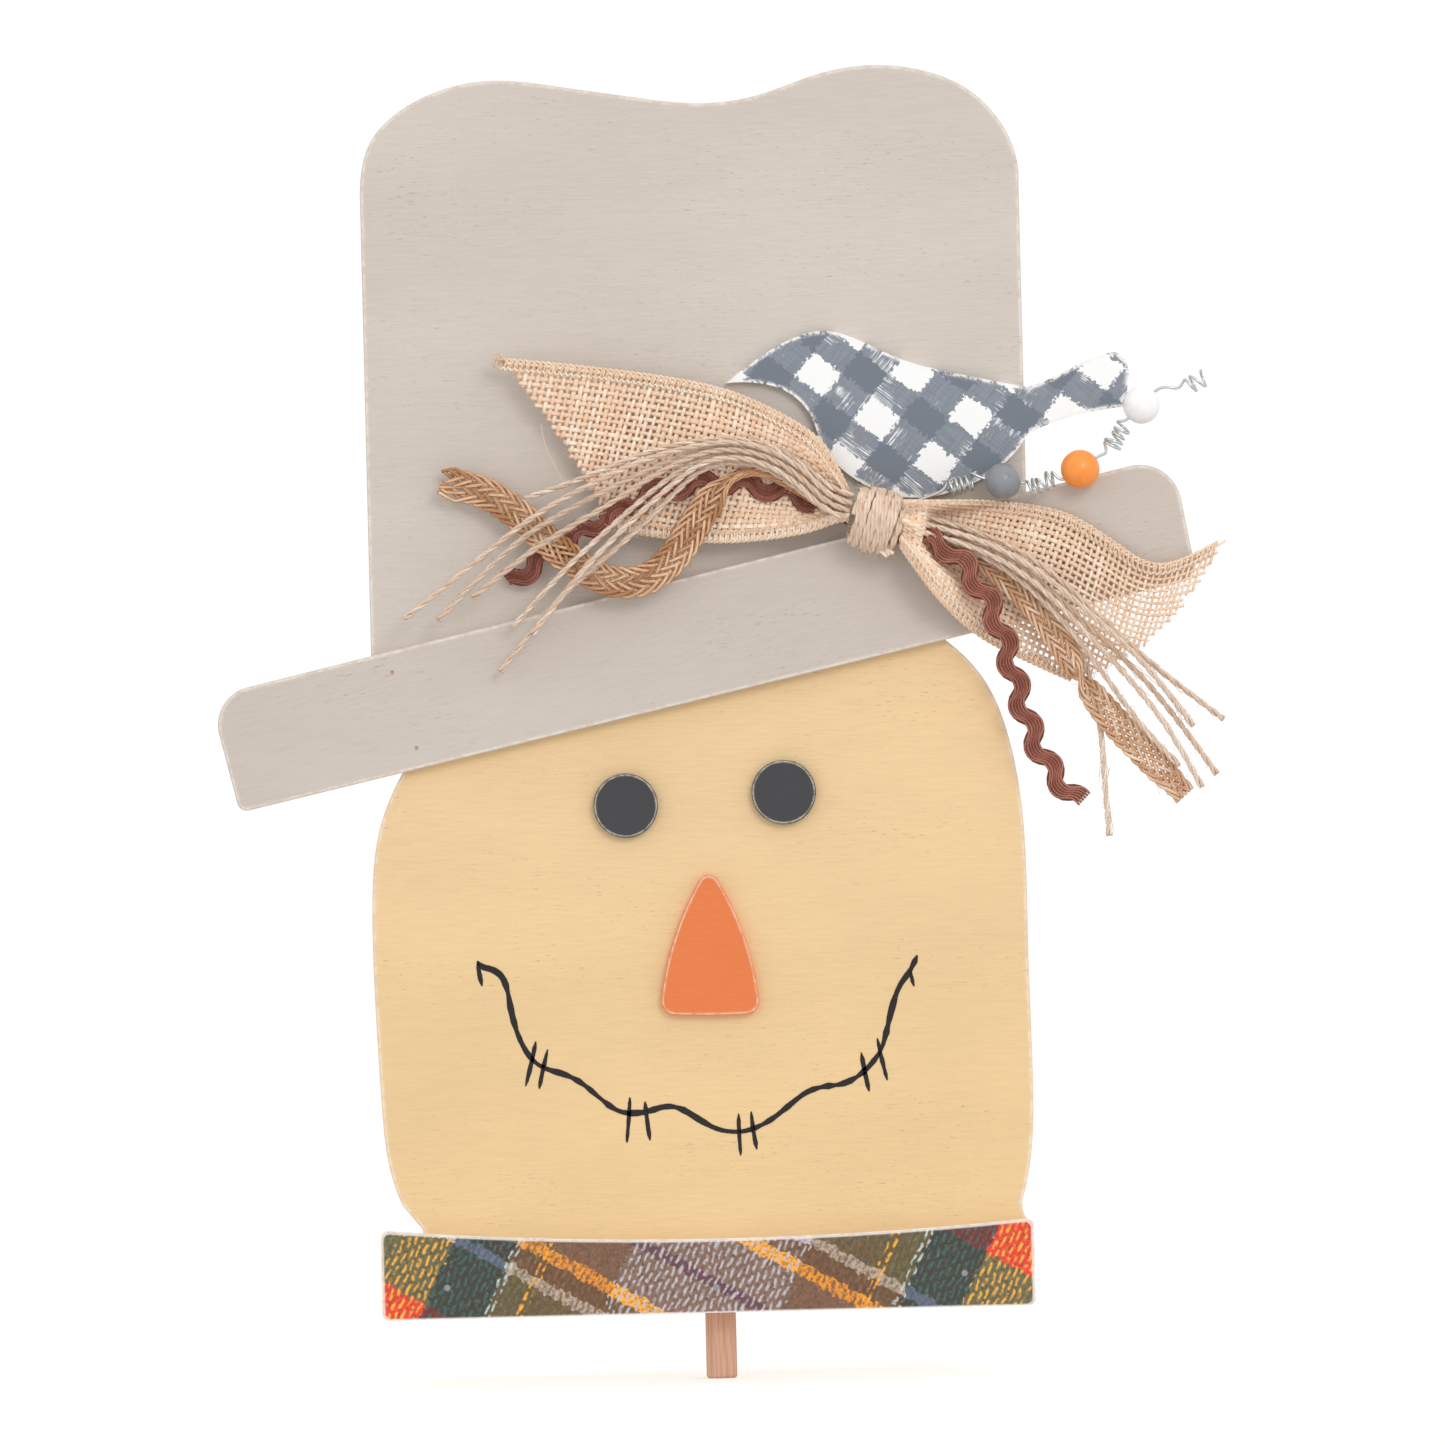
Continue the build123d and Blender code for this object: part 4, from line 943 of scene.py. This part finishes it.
def hang(name):
    """Hide the part that a tail replaces."""
    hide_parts(name)


# -- rick-rack: a woven tape that swings from edge to edge, of ribs side by side on a thin ground
rickrack_yarn = fibre(
    "rickrack_yarn", (200, 134, 114), (122, 72, 62), twist=2.2, depth=0.8, flank_shade=0.7,
)
RICKRACK_RIBS = 6
RIB_PITCH = 0.00094
RIB_WIDE = 0.00078
RIB_DEEP = 0.00124
GROUND_WIDE = 0.0052
GROUND_DEEP = 0.00050
SWING = 0.0018
SWING_LENGTH = 0.0137
SWING_BLUNT = 1.3                # above 1 the swing's turns are blunter than a sine's
CUT_BACK = 700                   # points by which a rib is cut short, for each metre off the middle


def rickrack(name, side, rise, flat, swing_at, forward=0.0):
    """A tape that swings most at one place along it, in metres, and lies forward near the knot."""
    route = tail_route(side, RICKRACK_Y, rise, flat)
    line = laid_line(route, TAIL_STEP)
    cross, _ = beside(line)
    reach = np.arange(len(line)) * TAIL_STEP
    line[:, 1] -= forward * ease(reach, 0.002, 0.010) * (1 - ease(reach, 0.040, 0.075))
    swing = np.cos(2 * math.pi * (reach - swing_at) / SWING_LENGTH)
    swing = -SWING * np.tanh(SWING_BLUNT * swing) / math.tanh(SWING_BLUNT)
    strands = []
    for rib in range(RICKRACK_RIBS):
        off = (rib - (RICKRACK_RIBS - 1) / 2) * RIB_PITCH
        # every other rib is cut back the more the nearer it is to an edge
        keep = len(line) - int(abs(off) * CUT_BACK) if rib % 2 else len(line)
        path = (line + cross * (swing + off)[:, None])[:keep:2]
        strands.append(strand(path, cross[:keep:2], RIB_WIDE, RIB_DEEP))
    ground = line + cross * swing[:, None]
    strands.append(strand(ground[:-2:2], cross[:-2:2], GROUND_WIDE, GROUND_DEEP, corners=8))
    piece = lay_piece(name, strands, rickrack_yarn)
    hang(name)


rickrack("rickrack_left", -1, 1.0, [
    (27.0, 253.0), (13.0, 256.6), (-2.0, 257.0), (-16.0, 253.6), (-30.0, 246.4), (-45.5, 237.2),
    (-60.3, 227.1),
], swing_at=0.1025)
rickrack("rickrack_right", 1, -1.0, [
    (76.9, 234.3), (85.1, 223.7), (91.2, 211.1), (94.9, 197.3), (97.9, 184.9), (102.3, 172.1),
    (109.2, 160.6), (115.6, 154.5),
], swing_at=0.0293, forward=0.0086)

# -- plait: flat, each strand crosses from edge to edge and goes over and under the others
jute_braid = fibre("jute_braid", (252, 214, 176), (176, 126, 88), twist=0.1, flank_shade=0.8)
# the right plait's jute is a lighter copy of the left one's, painted light that lifts the shade it lies in
# under the twines
braid_lit_copy = fibre("braid_lit_copy", (255, 232, 204), (200, 154, 118), twist=0.1, flank_shade=0.8)
BRAID_STRANDS = 11
BRAID_PERIOD = 0.040             # along the plait, until a strand is back at the same edge
BRAID_HALF = 0.0042              # from the middle to the line of an outermost strand
BRAID_COLUMNS = 4                # times that a strand changes from over to under on its way across
BRAID_LIFT = 0.00050
BRAID_ROUND = 0.9                # how gently a strand turns back at the edges
STRAND_WIDE = 0.00112
STRAND_DEEP = 0.00070
STRAND_TIGHT = 0.72              # the width of a strand where the plait is drawn together, as a share
FRAY_APART = 0.0014
HAIR_THICK = 0.00012


def loose_hairs(line, count, longest, out_from):
    """Fine fibres that stand off a cord."""
    strands = []
    for _ in range(count):
        at = int(fluff.integers(2, len(line) - 3))
        run = line[at + 1] - line[at - 1]
        run = run / np.linalg.norm(run)
        lean = fluff.normal(0, 1, 3)
        lean -= run * lean.dot(run)
        lean /= np.linalg.norm(lean)
        root = line[at] + lean * out_from
        lean = lean + run * fluff.choice([-1, 1]) * fluff.uniform(0.4, 2.2)
        strands.append(hair(root, lean, longest * fluff.uniform(0.3, 1.0), curl=0.3, thick=HAIR_THICK))
    return strands


def braid(name, side, rise, flat, width, turn, fray, material):
    """A flat plait whose width and turn change along it, and whose strands part at a frayed end.

    width, as a share, and turn, in radians, are functions of the distance from the knot in
    millimetres.
    """
    route = tail_route(side, BRAID_Y, rise, flat)
    line = laid_line(route, TAIL_STEP)
    cross, out = beside(line)
    reach = np.arange(len(line)) * TAIL_STEP
    angle = turn(reach * 1000)[:, None]
    flat_way = cross * np.cos(angle) + out * np.sin(angle)
    thin_way = out * np.cos(angle) - cross * np.sin(angle)
    half = BRAID_HALF * width(reach * 1000)
    loose = ease(reach, reach[-1] - fray, reach[-1] + 0.004) if fray else np.zeros(len(reach))
    wide = STRAND_WIDE * (STRAND_TIGHT + (1 - STRAND_TIGHT) * np.clip(width(reach * 1000), 0, 1))
    strands = []
    for k in range(BRAID_STRANDS):
        phase = (reach / BRAID_PERIOD + k / BRAID_STRANDS) % 1.0
        across_at = np.sin((4 * np.abs(phase - 0.5) - 1) * BRAID_ROUND) / math.sin(BRAID_ROUND)
        going = np.where(phase < 0.5, 1.0, -1.0)
        over = going * np.sin(math.pi * BRAID_COLUMNS * (across_at + 1) / 2)
        parted = fluff.normal(0, FRAY_APART, 2)
        path = line + flat_way * (half * across_at + loose * parted[0])[:, None]
        path = path + thin_way * (BRAID_LIFT * over + loose * parted[1])[:, None]
        stop = len(path) - (int(fluff.integers(0, 7)) if fray else 0)
        strands.append(strand(path[:stop:2], flat_way[:stop:2], wide[:stop:2], STRAND_DEEP))
    spread = line + flat_way * (half * fluff.uniform(-1, 1, len(line)))[:, None]
    strands += loose_hairs(spread, count=240, longest=0.0040, out_from=0.0005)
    piece = lay_piece(name, strands, material)
    hang(name)


def left_braid_width(mm):
    """Drawn together behind the twines, then wide."""
    return 0.42 + 0.68 * ease(mm, 38, 50)


def left_braid_turn(mm):
    """Half on edge at the knot, then flat."""
    return 1 - ease(mm, 38, 52)


def right_braid_width(mm):
    """Opens out past the ribbon's fold, and closes a little at its end."""
    return 0.45 + 0.45 * ease(mm, 10, 38) + 0.15 * ease(mm, 80, 92) - 0.25 * ease(mm, 112, 121)


def right_braid_turn(mm):
    """Half a turn, which shows its edge on the way."""
    return math.pi * ease(mm, 66, 84)


braid("braid_left", -1, 0.5, [
    (29.5, 254.0), (18.5, 260.8), (7.5, 257.4), (-0.8, 246.0), (-7.6, 234.6), (-16.4, 227.0),
    (-27.4, 226.0), (-38.2, 231.6), (-48.2, 240.4), (-58.0, 249.8), (-68.4, 257.0), (-81.0, 259.0),
], left_braid_width, left_braid_turn, fray=0.012, material=jute_braid)
braid("braid_right", 1, 1.0, [
    (81.5, 234.8), (92.5, 226.6), (102.0, 216.4), (109.6, 205.4), (116.0, 193.6), (123.4, 183.0),
    (131.4, 174.0), (139.5, 165.6), (147.9, 156.2),
], right_braid_width, right_braid_turn, fray=0, material=braid_lit_copy)

# -- twine: two soft plies wound round each other, with loose fibres all along
jute_twine = fibre("jute_twine", (255, 242, 228), (218, 190, 166), twist=0.25, depth=0.3, flank_shade=0.5)
TWINE_LAY = 0.0094               # one full turn of the plies
PLY_WIDE = 0.00112
PLY_APART = 0.00043              # a ply's middle, from the twine's
PLY_FLARE = 0.35                 # how much further apart at the cut end
FLARE_OVER = 0.008
WISP_THICK = 0.00020


def two_ply(line, start):
    """Two plies wound round each other along a line, and parting a little at its end."""
    first, second = beside(line)
    reach = reach_along(line)
    apart = PLY_APART * (1 + PLY_FLARE * ease(reach, reach[-1] - FLARE_OVER, reach[-1]))
    strands = []
    for ply in (0, math.pi):
        turn = 2 * math.pi * reach / TWINE_LAY + start + ply
        out = first * np.cos(turn)[:, None] + second * np.sin(turn)[:, None]
        strands.append(strand((line + out * apart[:, None])[::2], out[::2], PLY_WIDE, PLY_WIDE * 1.15))
    return strands


def wisps(line, count, longest, out_from):
    """Fibres that lie along a cord for a way and leave it at their ends."""
    strands = []
    for _ in range(count):
        span = int(fluff.uniform(0.4, 1.0) * longest / TAIL_STEP)
        at = int(fluff.integers(0, max(1, len(line) - span)))
        part = line[at:at + span:8]
        if len(part) < 5:
            continue
        share = np.linspace(-1, 1, len(part))[:, None]
        lean, bow = fluff.normal(0, 1, (2, 3))
        lean /= np.linalg.norm(lean)
        bow /= np.linalg.norm(bow)
        away = out_from * (1 + 1.2 * share ** 4) * lean + out_from * 0.5 * np.sin(share * 4.0) * bow
        strands.append(strand(part + away, ROUND_SIDE, WISP_THICK, WISP_THICK, corners=3))
    return strands


def twine(name, side, lane_y, rise, flat):
    """A twine tail with its loose fibres."""
    route = tail_route(side, lane_y, rise, flat)
    line = laid_line(route, TAIL_STEP)
    strands = two_ply(line, start=fluff.uniform(0, 6.28))
    strands += loose_hairs(line, count=len(line) // 2, longest=0.0027, out_from=0.0005)
    strands += wisps(line, count=24, longest=0.026, out_from=0.0008)
    piece = lay_piece(name, strands, jute_twine)
    hang(name)


# each twine: its depth and its rise in the knot's end face, then its route as X and Z
LEFT_TWINES = [
    (TWINE_Y, 5.75, [
        (33.6, 260.2), (23.5, 267.1), (11.3, 270.4), (-0.6, 269.8), (-16.0, 266.8), (-29.8, 261.4),
        (-42.3, 256.8), (-54.4, 253.2),
    ]),
    (TWINE_FRONT_Y, 3.2, [
        (32.9, 259.3), (23.0, 266.1), (11.2, 269.3), (-0.4, 268.5), (-17.0, 264.4), (-35.0, 256.7),
        (-51.0, 248.3), (-64.0, 238.8), (-77.5, 228.0), (-92.5, 217.0),
    ]),
    (TWINE_Y, 3.45, [
        (32.2, 258.4), (22.5, 265.0), (11.1, 268.1), (-0.2, 267.1), (-15.0, 261.5), (-31.0, 254.3),
        (-45.0, 247.4), (-57.0, 240.2), (-68.5, 229.7), (-82.5, 216.0),
    ]),
    (TWINE_FRONT_Y, 0.9, [
        (31.5, 257.5), (22.0, 264.0), (11.0, 267.0), (0.0, 266.0), (-13.5, 259.9), (-27.0, 251.4),
        (-41.0, 243.8), (-55.0, 235.6), (-71.2, 222.8),
    ]),
    (TWINE_Y, 1.15, [
        (30.8, 256.6), (21.5, 263.0), (10.9, 265.9), (0.2, 264.5), (-11.0, 257.6), (-21.5, 249.2),
        (-31.6, 240.6), (-43.5, 230.2), (-59.0, 213.5),
    ]),
    (TWINE_FRONT_Y, -1.4, [
        (30.1, 255.7), (21.0, 261.9), (10.8, 264.7), (0.4, 263.0), (-9.5, 255.8), (-19.0, 247.6),
        (-28.5, 239.0), (-39.0, 228.4), (-53.2, 211.0),
    ]),
    (TWINE_Y, -1.15, [
        (29.4, 254.8), (20.6, 260.9), (10.7, 263.4), (0.6, 261.3), (-8.5, 253.4), (-17.5, 244.6),
        (-27.5, 236.2), (-38.5, 227.8), (-50.0, 216.2), (-63.5, 199.5),
    ]),
]
for number, (lane_y, rise, flat) in enumerate(LEFT_TWINES, start=1):
    twine(f"twine_left_{number}", -1, lane_y, rise, flat)

RIGHT_TWINES = [
    (RICKRACK_Y, 5.8, [
        (82.5, 240.4), (94.0, 232.0), (104.4, 221.0), (112.6, 208.8), (118.4, 196.4),
        (121.4, 184.0), (122.4, 171.0), (122.9, 158.0), (123.8, 144.7),
    ]),
    (TWINE_Y, 0.0, [
        (82.0, 234.6), (94.0, 227.6), (104.8, 218.2), (114.4, 207.2), (122.6, 195.6),
        (130.2, 184.0), (137.6, 174.4), (146.2, 165.4),
    ]),
    (TWINE_FRONT_Y, 0.0, [
        (82.4, 235.4), (95.0, 229.3), (106.5, 220.0), (116.6, 209.0), (125.6, 199.2),
        (133.6, 189.8), (140.6, 180.4), (147.0, 170.0), (152.6, 159.0),
    ]),
    (TWINE_Y, 2.4, [
        (83.0, 237.2), (95.6, 230.6), (107.2, 221.2), (117.4, 210.8), (127.0, 201.6),
        (135.8, 192.6), (143.6, 182.6), (150.8, 172.6), (157.6, 162.5),
    ]),
    (TWINE_FRONT_Y, 2.6, [
        (83.2, 238.0), (96.2, 232.0), (108.2, 223.4), (119.0, 213.8), (129.2, 204.4),
        (137.2, 195.8), (144.2, 186.6), (150.6, 177.5),
    ]),
    (TWINE_Y, 4.8, [
        (83.6, 240.0), (97.0, 234.2), (109.0, 225.6), (119.2, 215.2), (128.8, 206.0),
        (138.6, 197.0), (149.0, 188.4), (160.2, 179.5),
    ]),
]
for number, (lane_y, rise, flat) in enumerate(RIGHT_TWINES, start=1):
    twine(f"twine_right_{number}", 1, lane_y, rise, flat)


# long fibres that have come away lie curled on the crown by the left tips
STRAY_ROOTS = [
    (-47, 214), (-52, 222), (-40, 207), (-57, 216), (-34, 211), (-44, 226), (-26, 204), (-61, 224),
    (-36, 198),
]
STRAY_Y = -11.4
strays = []
for x, z in STRAY_ROOTS:
    lean = (fluff.normal(0, 1), -0.12, fluff.normal(0.4, 0.8))
    root = np.array([x, STRAY_Y, z]) / 1000
    strays.append(hair(root, lean, fluff.uniform(0.007, 0.013), curl=0.24, steps=7, thick=0.00011))
lay_piece("stray_fibres", strays, jute_twine)


# ==== Knot =====================================================================================
# A soft three-ply length of the same jute, wound eight times round the pinch of the ribbon and the
# tails. Its ends are tucked under, and show as a short flat tuft at the foot.
CORE_HIGH = 16.0
CORE_DEEP = 14.0
WRAP_TURNS = 8.2
WRAP_STEPS = 64                  # points in a turn
WRAP_INSET = 1.0                 # the first and last turns lie so far inside the core's ends
WRAP_OUT = 1.55                  # how far the turns stand off the core at the middle
WRAP_BARREL = 2.5                # and how much less at its ends
WRAP_PLIES = 3
WRAP_LAY = 0.014                 # one full turn of the plies
PLY_ALONG = 0.00058              # a ply's middle from the wrap's own line, along the knot
PLY_OUT = 0.00032                # and out from the core
TUFT_ENDS = 3


def wound_line():
    """The line of the wrap in metres: no turn lies quite like the next."""
    sweep = np.linspace(0, WRAP_TURNS * 2 * math.pi, int(WRAP_TURNS * WRAP_STEPS))
    last = KNOT_LENGTH / 2 - WRAP_INSET
    ride_on = np.linspace(-last, last, len(sweep))
    ride_on += 0.30 * np.sin(sweep * 0.37 + 1.0) + 0.30 * np.sin(sweep + 0.5) + 0.16 * np.sin(sweep * 2.3)
    out_by = WRAP_OUT - WRAP_BARREL * (ride_on / (KNOT_LENGTH / 2)) ** 2
    out_by += 0.16 * np.sin(sweep * 0.61) + 0.10 * np.sin(sweep * 1.73)
    line = np.array(KNOT) + ride_on[:, None] * KNOT_OUT
    line += ((CORE_HIGH / 2 + out_by) * np.sin(sweep))[:, None] * KNOT_UP
    line[:, 1] -= (CORE_DEEP / 2 + out_by) * np.cos(sweep)
    return line / 1000


def wrap_plies(line, away):
    """The plies of the wrap, wound loosely round its line. away points from the core outward."""
    strands = []
    for ply in range(WRAP_PLIES):
        wind = 2 * math.pi * (reach_along(line) / WRAP_LAY + ply / WRAP_PLIES)
        off = KNOT_OUT * np.cos(wind)[:, None] * PLY_ALONG + away * np.sin(wind)[:, None] * PLY_OUT
        strands.append(strand(line + off, KNOT_OUT, width=0.00125, depth=0.00105))
    return strands


def wrap_ends():
    """The cut ends at the knot's foot."""
    strands = []
    for end in range(TUFT_ENDS):
        foot = np.array([53.4 + 1.3 * end, -26.0, 236.0]) / 1000
        tip = foot + np.array([3.6 + fluff.uniform(-0.8, 0.8), -1.6, -3.6 + 0.5 * end]) / 1000
        middle = (foot + tip) / 2 + fluff.normal(0, 0.0004, 3)
        line = laid_line([tuple(foot), tuple(middle), tuple(tip)], TAIL_STEP)
        strands.append(strand(line, (0.7, 0, 0.7), width=0.0013, depth=0.0005))
    return strands


wrap_line = wound_line()
from_core = wrap_line - np.array(KNOT) / 1000
from_core -= (from_core @ KNOT_OUT)[:, None] * KNOT_OUT
from_core /= np.linalg.norm(from_core, axis=1)[:, None]
wrap_strands = wrap_plies(wrap_line, from_core)
wrap_strands += loose_hairs(wrap_line + from_core * 0.0003, count=420, longest=0.0050, out_from=0.0007)
wrap_strands += wisps(wrap_line, count=26, longest=0.026, out_from=0.0010)
wrap_strands += wrap_ends()
wrap = lay_piece("twine_wrap_turns", wrap_strands, jute_twine)
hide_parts("twine_wrap")


# ==== Beaded wire ==============================================================================
# Thin bright steel craft wire, wound on a rod and pulled out by hand, with three painted wooden
# beads. It grows from behind the knot and sways; each bead turns on it.
WIRE_Y = -20.6
WIRE_D = 0.0009
WIRE_STEP = 0.00035
COIL_R = 2.3
CURL_POINTS = 10                 # guide points in a turn of a curl
BEADS = {                        # middle in X and Z, slope of the wire, and half its straight run there
    "bead_grey": ((93.6, 255.0), -8.0, 6.5),
    "bead_orange": ((117.5, 258.1), 35.0, 6.9),
    "bead_white": ((136.9, 277.4), 46.0, 6.65),
}
bend = random.Random(41)


def through(bead):
    """The wire's straight run through a bead: three guide points."""
    (x, z), slope, half = BEADS[bead]
    angle = math.radians(slope)
    return [(x + at * math.cos(angle), WIRE_Y, z + at * math.sin(angle)) for at in (-half, 0, half)]


def curl(start, end, turns):
    """Guide points of a hand-pulled curl from start to end: no two of its turns are alike."""
    axis = np.array([end[0] - start[0], 0, end[1] - start[1]])
    side = np.array([-axis[2], 0, axis[0]]) / np.linalg.norm(axis)
    depth = np.array([0, 1, 0])
    gaps = np.cumsum([0.0] + [bend.uniform(0.55, 1.45) for _ in range(turns)])
    sizes = [COIL_R * bend.uniform(0.88, 1.28) for _ in range(turns + 1)]
    leans = [bend.uniform(-0.25, 0.25) for _ in range(turns + 1)]
    points = []
    for index in range(turns * CURL_POINTS + 1):
        at = index / CURL_POINTS
        angle = 2 * math.pi * at
        size = np.interp(at, range(turns + 1), sizes)
        along = np.interp(at, range(turns + 1), gaps) / gaps[-1]
        tip = np.interp(at, range(turns + 1), leans) * math.cos(angle) * size / np.linalg.norm(axis)
        middle = np.array([start[0], WIRE_Y, start[1]]) + axis * (along + tip)
        points.append(tuple(middle + side * size * math.cos(angle) - depth * size * math.sin(angle)))
    return points


craft_wire, wire_shader = lumpy("craft_wire", (208, 211, 209), 0.28, lumps=2600, strength=0.25)
wire_shader.inputs["Metallic"].default_value = 1.0

wire_root = knot_mouth(1, 8.6, WIRE_Y)
wire_route = [
    tuple(wire_root), tuple(wire_root + KNOT_OUT * 2.0), (70.5, WIRE_Y, 250.6), (75.4, WIRE_Y, 252.6),
    *curl((77.2, 253.2), (84.8, 255.2), 4),
    *through("bead_grey"),
    *curl((101.6, 252.2), (109.4, 255.6), 4),
    *through("bead_orange"),
    (126.0, WIRE_Y, 262.8),
    *curl((127.2, 264.8), (131.6, 271.4), 4),
    *through("bead_white"),
    (144.6, WIRE_Y, 283.0), (148.6, WIRE_Y, 282.0),
    *curl((151.6, 283.0), (157.0, 285.6), 2),
]
wire_line = laid_line([(x / 1000, y / 1000, z / 1000) for x, y, z in wire_route], WIRE_STEP)
wire_strand = strand(wire_line, (0.31, 1, 0.17), WIRE_D, WIRE_D, corners=8)
wire_piece = lay_piece("craft_wire", [wire_strand], craft_wire, "wire")
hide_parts("bead_wire")


def bead_paint(name, colour, dark):
    """Satin paint on a turned wooden bead, a little darker in blotches."""
    material, tree, shader = new_shader(name, (1, 1, 1, 1), 0.30)
    blotch = step(tree, cloud(tree, place(tree), 300, 3), 0.45, 0.8)
    tree.links.new(coat(tree, blotch, paint(*colour), paint(*dark)), shader.inputs["Base Color"])
    rough_up(tree, shader, cloud(tree, place(tree, stretch=(1, 1, 0.3)), 700, 3), 0.12, 0.0003)
    return material


finish_node("bead_grey", bead_paint("bead_grey_paint", (138, 140, 144), (122, 125, 129)))
finish_node("bead_orange", bead_paint("bead_orange_paint", (250, 150, 62), (240, 132, 46)))
finish_node("bead_white", bead_paint("bead_white_paint", (244, 243, 241), (232, 230, 228)))


# ==== Studio ===================================================================================
# A white room: bright all round from eye height up and dimmer below, one large soft lamp high in
# front on the right, and a pale floor at the peg's foot.
FLOOR_HALF = (0.30, 0.09)
CAMERA_AWAY = 7.0
VIEW_WIDE = 0.44795              # what the camera takes in at the figure, metres
VIEW_MIDDLE = (0.00508, 0.1825)
VIEW_TILT = math.radians(1.4)
FILM_WIDE = 36                   # millimetres

floor_height = float(cad_low[2])
floor_mesh = bpy.data.meshes.new("floor")
floor_mesh.from_pydata([
    (side * FLOOR_HALF[0], depth * FLOOR_HALF[1], floor_height)
    for side, depth in ((-1, -1), (1, -1), (1, 1), (-1, 1))
], [], [(0, 1, 2, 3)])
floor_material, _, floor_shader = new_shader("floor", (0.95, 0.95, 0.95, 1), 0.9)
floor_shader.inputs["Emission Color"].default_value = (1, 1, 1, 1)
floor_shader.inputs["Emission Strength"].default_value = 0.12
floor_mesh.materials.append(floor_material)
floor = bpy.data.objects.new("floor", floor_mesh)
scene.collection.objects.link(floor)

world = bpy.data.worlds.new("white_room")
scene.world = world
world.use_nodes = True
world_tree = world.node_tree
sky = world_tree.nodes["Background"]
sky.inputs["Color"].default_value = (1, 1, 1, 1)
direction = put(world_tree, "SeparateXYZ", {0: put(world_tree, "TexCoord").outputs["Generated"]})
brightness = step(world_tree, direction.outputs["Z"], -0.55, -0.12, 0.62, 1.03)
world_tree.links.new(brightness, sky.inputs["Strength"])


def soft_lamp(name, place_at, aim, size, watts):
    """A large square lamp aimed at a point."""
    lamp = bpy.data.lights.new(name, "AREA")
    lamp.shape = "SQUARE"
    lamp.size = size
    lamp.energy = watts
    holder = bpy.data.objects.new(name, lamp)
    holder.location = place_at
    holder.rotation_euler = (Vector(aim) - Vector(place_at)).to_track_quat("-Z", "Y").to_euler()
    scene.collection.objects.link(holder)


soft_lamp("key_lamp", (0.75, -1.9, 1.1), (0, 0, 0.18), 0.7, 10.0)

camera_data = bpy.data.cameras.new("camera")
camera_data.sensor_width = FILM_WIDE
camera_data.lens = FILM_WIDE * CAMERA_AWAY / VIEW_WIDE
camera_data.clip_end = 50
camera = bpy.data.objects.new("camera", camera_data)
camera.location = (VIEW_MIDDLE[0], -CAMERA_AWAY, VIEW_MIDDLE[1])
camera.rotation_euler = (math.pi / 2, VIEW_TILT, 0)
scene.collection.objects.link(camera)
scene.camera = camera
scene.view_settings.view_transform = "Standard"
